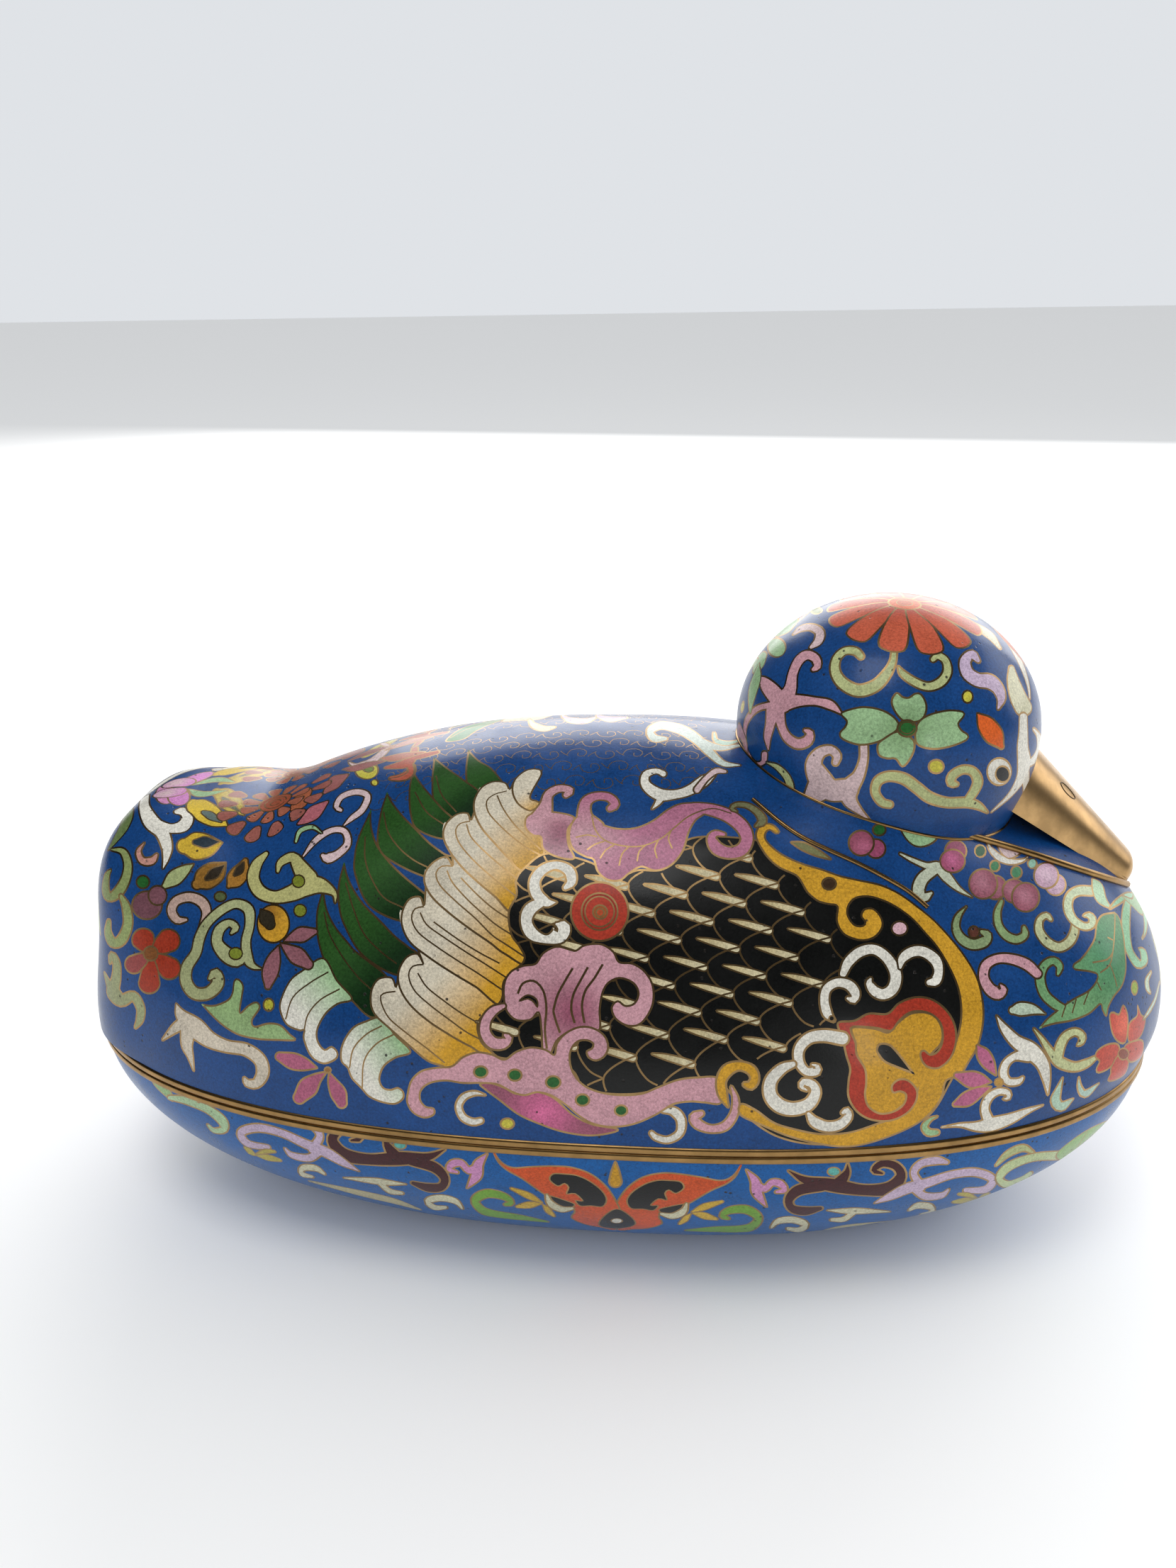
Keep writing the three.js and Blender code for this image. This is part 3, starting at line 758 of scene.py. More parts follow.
    # Yellow border, cloud scrolls and the red and yellow cloud head at the wing's shoulder
    use_sheet(960, 1120, 1568 / 520)
    on_lid(PINK, vine((216, 1245, 6), (234, 1300, 15), (228, 1360, 18), (190, 1412, 20), (130, 1425, 18),
        (75, 1405, 22), (58, 1375, 22), (88, 1360, 14)))
    border = blob((330, 205), (322, 165), (345, 130), (390, 130), (420, 160), (405, 168), (380, 152),
        (362, 165), (362, 195), (400, 235), (450, 268), (520, 298), (600, 322), (680, 350), (760, 368),
        (850, 388), (930, 425), (1010, 482), (1080, 540), (1150, 615), (1215, 700), (1262, 785), (1285, 880),
        (1287, 970), (1265, 1070), (1225, 1140), (1190, 1195), (1130, 1220), (1110, 1290), (1065, 1355),
        (1000, 1405), (900, 1452), (780, 1490), (680, 1500), (560, 1482), (450, 1452), (350, 1410),
        (255, 1365), (258, 1318), (320, 1345), (400, 1400), (500, 1430), (600, 1447), (720, 1440),
        (840, 1402), (930, 1370), (990, 1310), (1010, 1240), (990, 1190), (1040, 1165), (1100, 1150),
        (1150, 1100), (1180, 1030), (1195, 940), (1185, 840), (1150, 750), (1095, 655), (1040, 590),
        (985, 530), (920, 482), (860, 452), (795, 435), (740, 445), (712, 480), (712, 520), (740, 558),
        (775, 562), (787, 545), (770, 520), (782, 492), (820, 490), (852, 525), (858, 565), (830, 605),
        (785, 622), (735, 615), (690, 590), (665, 540), (668, 478), (630, 468), (585, 455), (540, 418),
        (515, 375), (490, 345), (420, 312), (370, 268))
    heart = blob((740, 992), (830, 1000), (885, 1015), (930, 970), (980, 935), (1040, 930), (1085, 950),
        (1112, 1000), (1108, 1060), (1060, 1120), (1100, 1170), (1020, 1240), (1000, 1300), (945, 1325),
        (905, 1352), (850, 1360), (800, 1335), (785, 1280), (790, 1220), (780, 1170), (750, 1110),
        (745, 1060), (728, 1010))
    on_lid(YELLOW, border, heart)
    on_lid(YELLOW, vine((203, 1332, 4), (180, 1280, 20), (173, 1222, 22), (200, 1175, 26), (250, 1157, 20),
        (300, 1174, 22), (316, 1212, 20), (298, 1240, 20), (275, 1236, 12)))
    on_lid(RED, blob((670, 975), (740, 965), (800, 935), (880, 935), (930, 890), (1000, 865), (1070, 875),
        (1130, 920), (1165, 980), (1172, 1050), (1150, 1120), (1100, 1165), (1050, 1160), (1025, 1130),
        (1022, 1100), (1038, 1092), (1062, 1110), (1095, 1095), (1115, 1050), (1110, 985), (1080, 945),
        (1030, 925), (975, 930), (930, 965), (900, 1005), (870, 1005), (830, 995), (735, 990), (725, 1010),
        (745, 1060), (750, 1110), (785, 1170), (790, 1230), (785, 1280), (800, 1330), (850, 1360),
        (910, 1350), (950, 1320), (960, 1280), (935, 1265), (905, 1270), (900, 1240), (930, 1215),
        (970, 1220), (1005, 1260), (1000, 1310), (960, 1360), (890, 1390), (810, 1385), (750, 1350),
        (715, 1290), (715, 1220), (722, 1170), (705, 1110), (690, 1040)))
    on_lid(BLACK, blob((835, 1088), (850, 1064), (892, 1070), (940, 1122), (990, 1188), (990, 1188),
        (930, 1165), (872, 1140), (846, 1112)))
    clouds = (
        vine((692, 765, 18), (715, 715, 24), (765, 672, 25), (825, 662, 24), (880, 700, 25), (915, 765, 27),
            (905, 825, 27), (865, 852, 26), (825, 838, 24), (803, 805, 18), (808, 788, 10)),
        vine((935, 738, 10), (945, 700, 22), (985, 672, 25), (1035, 672, 25), (1085, 708, 26),
            (1098, 755, 22), (1085, 795, 24), (1058, 802, 16)),
        vine((650, 962, 10), (625, 935, 22), (612, 880, 22), (622, 830, 22), (665, 803, 22), (715, 812, 24),
            (742, 845, 24), (735, 875, 20), (712, 870, 10)),
        vine((688, 1040, 30), (610, 1028, 28), (545, 1040, 26), (505, 1085, 24), (505, 1140, 22),
            (535, 1180, 20), (578, 1178, 22), (582, 1158, 12), (560, 1152, 7)),
        vine((478, 1150, 16), (430, 1170, 24), (385, 1220, 28), (382, 1280, 30), (420, 1325, 32),
            (480, 1340, 30), (545, 1320, 28), (575, 1270, 24), (560, 1235, 20), (524, 1226, 18),
            (514, 1246, 12), (538, 1260, 7)),
        vine((545, 1362, 12), (570, 1395, 24), (620, 1415, 24), (675, 1408, 23), (712, 1375, 20),
            (708, 1348, 17), (690, 1356, 10)))
    for cloud in clouds:
        on_lid(WHITE, cloud)
    on_lid(BLACK, disc(643, 955, 12, 12), wire=0.25)
    on_lid((216, 176, 190), disc(932, 572, 34, 30))
    on_lid((62, 44, 28), disc(632, 382, 30, 26))
    on_lid((120, 120, 80), vine((472, 206, 3), (520, 222, 17), (580, 250, 15), (638, 277, 3)))
    on_lid((116, 116, 84), vine((240, 74, 5), (217, 62, 10), (236, 46, 11), (285, 50, 13), (330, 80, 16),
        (348, 116, 20), (318, 138, 6)))
    on_lid(PALE_GREEN, vine((1092, 1372, 4), (1062, 1385, 9), (1038, 1415, 15), (1056, 1440, 17),
        (1090, 1440, 13)))


def draw_rear():
    use_sheet(420, 1080, 1568 / 540)
    # Pointed green feathers behind the long ones
    leaves = (
        [(700, -60), (690, 20), (700, 90), (760, 160), (860, 120), (800, 20), (740, -20)],
        [(560, -30), (552, 60), (560, 150), (620, 220), (740, 240), (760, 130), (680, 60), (610, 10)],
        [(472, 25), (458, 100), (463, 200), (492, 262), (600, 300), (680, 260), (600, 185), (550, 130),
            (502, 72)],
        [(366, 115), (340, 200), (330, 330), (400, 400), (560, 460), (640, 380), (605, 365), (540, 318),
            (482, 260), (430, 208), (388, 155)],
        [(298, 188), (252, 290), (234, 370), (237, 450), (300, 580), (460, 640), (560, 560), (520, 525),
            (432, 452), (370, 390), (322, 322), (300, 250)],
        [(190, 403), (170, 480), (168, 560), (190, 650), (270, 780), (420, 860), (490, 780), (455, 745),
            (398, 700), (340, 640), (272, 572), (230, 512), (203, 455)],
        [(104, 512), (80, 600), (82, 700), (110, 800), (160, 888), (222, 962), (312, 1032), (400, 940),
            (362, 862), (300, 810), (235, 760), (200, 720), (152, 660), (118, 590)])
    for leaf in leaves:
        tip, foot = leaf[0], leaf[len(leaf) // 2 + 1]
        middle = ((tip[0] * 0.45 + foot[0] * 0.55), (tip[1] * 0.45 + foot[1] * 0.55))
        on_lid((42, 84, 34), smooth([leaf[0]] + leaf, closed=True), fade=((18, 46, 22), middle, foot))
    veins([(108, 600), (130, 690), (188, 790), (248, 868), (300, 916)],
        [(196, 480), (230, 592), (272, 690), (340, 762), (406, 812)],
        [(276, 290), (276, 382), (302, 462), (352, 540), (432, 582)],
        [(352, 190), (370, 272), (420, 342), (480, 390), (532, 416)], [(480, 108), (528, 190), (600, 242)],
        [(566, 40), (590, 120), (650, 190)], wire=0.28)
    # Striped curled feathers
    on_lid(PALE_GREEN, blob((340, 1035), (280, 1048), (230, 1072), (195, 1118), (178, 1165), (180, 1212),
        (205, 1238), (222, 1280), (262, 1322), (292, 1355), (345, 1378), (400, 1385), (432, 1362),
        (430, 1335), (408, 1320), (385, 1328), (352, 1322), (334, 1285), (352, 1232), (400, 1196),
        (462, 1172), (400, 1105)), fade=(WHITE, (400, 1100), (235, 1200)))
    veins([(345, 1066), (282, 1100), (228, 1160), (212, 1240)],
        [(392, 1102), (322, 1140), (272, 1210), (264, 1320)])
    on_lid(PALE_GREEN, blob((105, 790), (20, 840), (-30, 880), (-65, 950), (-72, 1000), (-45, 1060),
        (10, 1085), (28, 1082), (25, 1120), (55, 1190), (105, 1220), (155, 1202), (162, 1175), (138, 1152),
        (110, 1165), (82, 1130), (80, 1080), (115, 1015), (165, 975), (222, 955), (160, 880)),
        fade=(WHITE, (150, 870), (10, 1030)))
    veins([(126, 845), (50, 890), (-20, 950), (-50, 1040)], [(172, 915), (92, 960), (42, 1020), (26, 1085)])
    on_lid(BLUSH, vine((176, 182, 10), (158, 168, 13), (180, 128, 12), (240, 108, 13), (286, 125, 15),
        (265, 180, 14), (222, 215, 12), (188, 246, 4)))
    on_lid(BLUSH, vine((22, 372, 5), (75, 305, 13), (140, 265, 13), (192, 270, 15), (204, 320, 16),
        (165, 362, 17), (122, 380, 22), (104, 370, 12)))
    on_lid(PALE_GREEN, vine((-8, 312, 7), (10, 268, 10), (60, 252, 10), (98, 276, 5)))
    on_lid(LEMON, disc(282, 18, 48, 38))
    on_lid((110, 130, 60), disc(290, 14, 22, 14), wire=0.3)
    on_lid(LEMON, disc(315, 70, 15, 13))
    on_lid((176, 84, 58), vine((380, 52, 8), (420, 50, 15), (458, 34, 18), (468, 4, 14), (430, -8, 5)))
    on_lid((176, 100, 112), vine((122, 148, 6), (70, 190, 28), (30, 222, 18), (0, 240, 5)))
    on_lid((150, 92, 92), vine((204, 38, 6), (150, 70, 26), (108, 112, 6)))
    on_lid((166, 92, 62), vine((48, 102, 12), (12, 145, 28), (-24, 178, 10)))

    use_sheet(130, 1060, 1568 / 540)
    # Tail
    on_lid((84, 130, 76), disc(238, 138, 36, 16))
    on_lid((206, 140, 190), disc(300, 178, 42, 38))
    on_lid((206, 130, 200), disc(355, 186, 46, 36))
    on_lid(WHITE,
        vine((224, 172, 12), (214, 225, 24), (240, 285, 34), (285, 330, 30), (306, 390, 24), (302, 440, 14),
            (290, 480, 4)),
        vine((262, 300, 24), (325, 316, 20), (374, 304, 26), (391, 270, 26), (370, 247, 19), (342, 248, 9)))
    drops = (
        (((555, 305, 3), (510, 275, 38), (452, 242, 46), (415, 226, 30)),
            ((530, 290, 3), (488, 265, 17), (455, 250, 9)), (214, 184, 60), (96, 112, 110)),
        (((622, 262, 3), (590, 225, 34), (545, 190, 42), (512, 170, 20)),
            ((602, 245, 3), (562, 212, 15), (535, 192, 8)), (190, 168, 70), (96, 104, 84)),
        (((532, 374, 3), (480, 384, 44), (420, 388, 56), (378, 388, 32)),
            ((520, 370, 3), (465, 372, 24), (422, 372, 12)), (206, 172, 52), (44, 58, 70)),
        (((545, 458, 5), (510, 490, 42), (458, 525, 46), (430, 545, 22)),
            ((542, 466, 3), (502, 498, 22), (470, 520, 10)), (146, 104, 40), (52, 44, 34)),
        (((628, 448, 12), (612, 490, 34), (580, 530, 34), (560, 552, 10)),
            ((620, 455, 4), (604, 485, 17), (585, 505, 8)), (160, 112, 42), (52, 44, 34)))
    for outer, inner, colour, dark in drops:
        on_lid(colour, vine(*outer))
        on_lid(dark, vine(*inner), wire=0.3)
    on_lid(YELLOW, disc(742, 706, 66, 78), glow=((140, 96, 30), (715, 660), (760, 760)))
    on_lid((48, 42, 30), vine((690, 648, 4), (712, 680, 30), (728, 708, 22)), wire=0.3)
    on_lid((160, 172, 122), vine((292, 556, 10), (335, 520, 32), (380, 486, 22), (415, 462, 3)))
    on_lid((190, 140, 130), vine((214, 374, 3), (190, 410, 12), (206, 448, 16), (245, 448, 17),
        (264, 424, 8)))
    on_lid((112, 72, 84), disc(225, 630, 62, 58))
    on_lid((120, 78, 90), disc(268, 590, 38, 40))
    on_lid(GREEN, disc(208, 535, 27, 27))
    on_lid((180, 154, 146), vine((384, 690, 9), (348, 690, 18), (325, 652, 20), (345, 612, 20),
        (400, 597, 21), (450, 618, 23), (468, 660, 20), (450, 710, 12), (428, 748, 3)))
    on_lid((160, 166, 124),
        vine((482, 930, 10), (505, 908, 22), (515, 950, 26), (475, 990, 26), (420, 990, 26), (386, 945, 25),
            (388, 885, 24), (425, 825, 22), (440, 765, 22), (470, 705, 20), (530, 650, 20), (590, 624, 20),
            (640, 648, 23), (645, 710, 20), (630, 780, 20), (638, 850, 22), (660, 880, 14), (698, 892, 3)),
        vine((570, 745, 8), (588, 722, 17), (560, 703, 17), (522, 730, 22), (512, 782, 24), (548, 830, 32),
            (592, 850, 34), (620, 830, 22)))
    on_lid(OLIVE, disc(588, 828, 28, 25), wire=0.3)
    on_lid((176, 174, 116),
        vine((714, 418, 10), (675, 462, 22), (660, 520, 26), (688, 575, 28), (750, 597, 26), (820, 580, 34),
            (870, 555, 40), (930, 548, 34), (990, 580, 14), (996, 620, 4)),
        vine((760, 492, 8), (772, 456, 16), (820, 434, 22), (850, 472, 32), (880, 520, 44)))
    for x, y in ((845, 532), (852, 652)):
        on_lid((118, 128, 40), disc(x, y, 26, 26), wire=0.3)
    on_lid((84, 96, 60), disc(525, 595, 25, 21))
    on_lid((180, 176, 60), disc(723, 1038, 22, 26))
    for petal in (
            ((910, 738, 14), (860, 750, 32), (820, 763, 20), (785, 778, 3)),
            ((884, 872, 22), (840, 838, 36), (800, 808, 20), (772, 786, 3)),
            ((720, 962, 14), (728, 910, 33), (745, 850, 28), (764, 796, 3))):
        on_lid((142, 92, 104), vine(*petal))
    for petal in (
            ((768, 1250, 18), (820, 1268, 33), (870, 1282, 26), (920, 1296, 3)),
            ((850, 1418, 26), (885, 1375, 40), (920, 1340, 22), (957, 1315, 3)),
            ((1022, 1440, 22), (1008, 1400, 32), (985, 1355, 20), (972, 1318, 3))):
        on_lid((172, 92, 124), vine(*petal))
    on_lid((150, 110, 60), disc(965, 1305, 14, 12), wire=0.3)
    # Red flower
    for x, y, half in ((210, 772, 47), (312, 776, 48), (316, 888, 46), (234, 948, 44), (172, 872, 38)):
        colour = (150, 70, 70) if x < 200 else (158, 52, 30)
        on_lid(colour, vine((240, 828, 5), ((240 + x) / 2, (828 + y) / 2, half * 0.7), (x, y, half)))
    on_lid((130, 80, 40), disc(240, 828, 30, 30), wire=0.35)
    on_lid((142, 172, 120), blob((452, 1038), (452, 1038), (500, 1042), (555, 1020), (575, 990), (582, 942),
        (598, 934), (618, 960), (612, 1010), (605, 1072), (640, 1042), (672, 1028), (686, 1050), (655, 1100),
        (665, 1128), (720, 1115), (770, 1122), (810, 1160), (832, 1182), (760, 1182), (680, 1178),
        (600, 1160), (540, 1125), (490, 1080)))
    on_lid((204, 194, 180),
        vine((344, 1034, 3), (365, 1080, 24), (420, 1130, 40), (480, 1180, 33), (550, 1208, 26),
            (630, 1222, 26), (688, 1265, 26), (698, 1320, 26), (672, 1360, 21), (636, 1358, 16),
            (624, 1340, 8)),
        vine((385, 1105, 28), (340, 1135, 20), (288, 1182, 4)),
        vine((395, 1130, 34), (388, 1200, 24), (402, 1250, 13), (416, 1308, 3)))
    # Chain of scrolls down the edge of the tail
    on_lid((104, 124, 76), vine((146, 200, 12), (152, 252, 18), (130, 310, 18), (92, 368, 10), (66, 404, 3)))
    on_lid((134, 148, 94), vine((78, 402, 5), (125, 410, 15), (146, 460, 18), (138, 520, 20), (105, 578, 22),
        (68, 598, 17), (55, 560, 15), (62, 505, 11), (76, 486, 5)))
    on_lid((140, 154, 100), vine((118, 592, 9), (140, 640, 18), (146, 710, 20), (120, 772, 22), (85, 783, 20),
        (65, 740, 15), (68, 695, 9)))
    on_lid((150, 156, 116), vine((74, 866, 6), (80, 832, 13), (100, 870, 16), (98, 930, 20), (86, 982, 28),
        (120, 1020, 26), (168, 1002, 20), (198, 1050, 18), (195, 1100, 16), (178, 1130, 7)),
        vine((50, 905, 3), (68, 950, 12), (90, 990, 24)))


def draw_breast():
    use_sheet(1000, 800, 2.8)
    on_lid(PALE_GREEN, vine((758, 972, 4), (775, 1030, 19), (825, 1076, 28), (880, 1060, 25),
        (902, 1022, 10)))
    on_lid((150, 70, 104), disc(660, 1112, 38, 38))
    on_lid((142, 72, 96), disc(602, 1090, 50, 50), glow=((176, 96, 128), (610, 1100), (660, 1100)))
    on_lid(GREEN, disc(673, 1038, 26, 23))
    on_lid((186, 194, 176),
        vine((756, 1132, 6), (800, 1155, 10), (860, 1180, 14), (905, 1185, 22), (940, 1225, 21),
            (985, 1270, 12), (1040, 1304, 3)),
        vine((900, 1188, 22), (845, 1230, 26), (828, 1280, 26), (852, 1304, 22), (878, 1288, 9)))
    use_sheet(960, 1120, 1568 / 520)
    on_lid((132, 152, 112), vine((1217, 478, 3), (1182, 520, 14), (1172, 570, 18), (1195, 615, 22),
        (1242, 640, 24), (1292, 628, 25), (1305, 600, 20), (1280, 586, 11)))
    on_lid((92, 54, 44), disc(1248, 588, 24, 26))
    use_sheet(1360, 1180, 1568 / 460)
    on_lid(WHITE, vine((110, 26, 4), (135, 70, 13), (175, 105, 17), (230, 122, 15), (282, 116, 9),
        (306, 98, 3)))
    on_lid(BLUSH, blob((160, 38), (180, 80), (215, 106), (252, 95), (278, 68), (220, 45)))
    on_lid((152, 76, 106), disc(-40, 70, 52, 52))
    on_lid((160, 80, 112), disc(-55, 118, 60, 56), glow=((196, 104, 150), (-60, 110), (-10, 110)))
    for x, y, radius in ((150, 245, 58), (92, 228, 72), (240, 262, 58), (296, 292, 70), (440, 232, 52),
            (395, 188, 62)):
        pale = x > 350
        on_lid((196, 160, 186) if pale else (146, 82, 100), disc(x, y, radius * 0.95, radius), glow=(
            (212, 182, 204) if pale else (176, 116, 136), (x - 8, y - 8), (x + radius, y)))
    for x, y, radius, colour in ((78, 70, 30, (44, 96, 66)), (148, 142, 27, (60, 128, 84)),
            (252, 172, 30, (70, 138, 98)), (328, 130, 25, (140, 186, 168))):
        on_lid(colour, disc(x, y, radius * 0.9, radius))
    on_lid((132, 158, 112), vine((180, 312, 12), (160, 368, 18), (168, 430, 20), (205, 478, 22),
        (255, 495, 22), (292, 472, 20), (288, 438, 12)))
    on_lid((190, 196, 156), vine((418, 400, 10), (396, 380, 16), (364, 402, 18), (362, 455, 22),
        (400, 508, 24), (455, 533, 24), (505, 508, 24), (530, 460, 22), (532, 420, 16)))
    on_lid((200, 214, 180), vine((612, 262, 24), (550, 262, 24), (508, 290, 22), (500, 345, 22),
        (525, 400, 20), (575, 432, 19), (612, 425, 19), (617, 395, 18), (598, 378, 15), (575, 382, 6)))
    on_lid((180, 214, 180), vine((620, 205, 6), (640, 240, 26), (660, 300, 24), (705, 345, 4)))
    on_lid((150, 200, 164),
        vine((700, 348, 4), (738, 315, 14), (790, 282, 14), (832, 300, 10), (862, 348, 9), (874, 410, 8),
            (870, 462, 6), (856, 492, 3)),
        vine((790, 296, 14), (780, 360, 20), (778, 430, 20), (784, 500, 18), (800, 560, 17), (838, 614, 20),
            (866, 600, 17), (860, 552, 14), (843, 540, 6)))
    leaf = blob((726, 366), (726, 366), (665, 378), (638, 420), (628, 490), (598, 545), (560, 592),
        (528, 616), (532, 638), (600, 648), (642, 664), (632, 705), (596, 745), (540, 775), (500, 800),
        (452, 835), (398, 880), (366, 920), (366, 920), (432, 900), (520, 884), (600, 852), (655, 805),
        (665, 832), (684, 864), (694, 820), (720, 770), (760, 715), (778, 640), (775, 560), (765, 470),
        (748, 395))
    stalk = vine((452, 662, 10), (460, 625, 18), (430, 598, 20), (388, 620, 22), (366, 680, 24),
        (385, 755, 24), (435, 805, 24), (480, 830, 20))
    on_lid((112, 158, 112), leaf, stalk, glow=((78, 142, 104), (690, 560), (560, 860)))
    veins([(726, 368), (724, 460), (716, 550), (700, 618), (655, 655)], [(716, 498), (690, 485)],
        [(714, 560), (688, 592), (618, 606)], [(702, 615), (720, 662), (736, 722)], [(640, 700), (660, 740)],
        [(600, 745), (575, 810)], [(540, 780), (520, 850)], [(490, 808), (470, 870)], wire=0.3)
    on_lid(PINK, vine((352, 660, 24), (300, 615, 28), (230, 590, 26), (160, 588, 24), (105, 620, 26),
        (95, 680, 26), (125, 735, 30), (165, 755, 32), (190, 735, 20), (176, 714, 8)))
    on_lid((186, 204, 186), vine((392, 854, 3), (330, 832, 26), (270, 830, 34), (234, 836, 20)))
    on_lid((188, 194, 148),
        vine((336, 925, 6), (375, 975, 13), (415, 1035, 20), (460, 1085, 28), (530, 1108, 24),
            (590, 1090, 20), (634, 1062, 10)),
        vine((450, 1075, 22), (462, 1010, 24), (490, 960, 22), (535, 940, 20), (568, 960, 19), (562, 990, 15),
            (545, 1004, 6)))
    on_lid(WHITE,
        vine((156, 862, 4), (195, 925, 22), (250, 985, 32), (320, 1030, 42), (375, 1090, 34), (395, 1160, 22),
            (403, 1242, 4)),
        vine((305, 1050, 36), (240, 1060, 20), (200, 1095, 20), (190, 1145, 22), (215, 1180, 20),
            (262, 1178, 17), (282, 1160, 9)))
    for petal in (
            ((66, 1008, 8), (90, 1045, 32), (120, 1095, 30), (154, 1148, 3)),
            ((-34, 1150, 16), (30, 1168, 40), (80, 1172, 32), (130, 1181, 3)),
            ((-44, 1288, 12), (10, 1265, 34), (70, 1230, 26), (130, 1204, 3))):
        on_lid((178, 98, 134), vine(*petal))
    on_lid((180, 140, 70), disc(168, 1182, 22, 20), wire=0.3)
    on_lid(WHITE,
        vine((-108, 1398, 2), (-20, 1388, 10), (60, 1395, 24), (130, 1385, 34), (220, 1358, 26),
            (310, 1318, 13), (380, 1292, 3)),
        vine((122, 1378, 28), (100, 1310, 22), (120, 1255, 20), (165, 1226, 18), (210, 1232, 17),
            (212, 1258, 12), (190, 1262, 6)))
    for petal in (
            blob((740, 985), (712, 940), (700, 860), (718, 846), (745, 856), (765, 812), (785, 850),
                (788, 910), (775, 990)),
            blob((790, 980), (795, 900), (832, 862), (834, 812), (850, 856), (872, 880), (855, 950),
                (815, 990)),
            blob((740, 1000), (690, 1000), (642, 1030), (632, 1062), (652, 1080), (636, 1120), (648, 1136),
                (700, 1112), (745, 1050)),
            blob((745, 1050), (708, 1110), (705, 1140), (692, 1172), (720, 1174), (775, 1140), (790, 1070)),
            blob((780, 1000), (850, 978), (863, 1010), (850, 1060), (800, 1085), (772, 1040))):
        on_lid((194, 76, 60), petal, glow=((222, 104, 82), (770, 900), (770, 1010)))
    on_lid((140, 66, 44), disc(766, 1046, 26, 28), wire=0.3)
    on_lid((176, 206, 188), vine((474, 1160, 3), (455, 1215, 14), (440, 1270, 25), (468, 1298, 24),
        (524, 1262, 4)))
    on_lid((176, 206, 196), vine((552, 1158, 3), (556, 1205, 12), (582, 1238, 18), (648, 1188, 3)))
    on_lid((150, 170, 70), disc(820, 728, 16, 34))
    on_lid((196, 216, 196), vine((900, 650, 4), (880, 690, 9), (884, 735, 9), (896, 752, 5)))
    on_lid((186, 212, 200), vine((940, 700, 2), (920, 780, 5), (890, 840, 7), (862, 880, 3)))


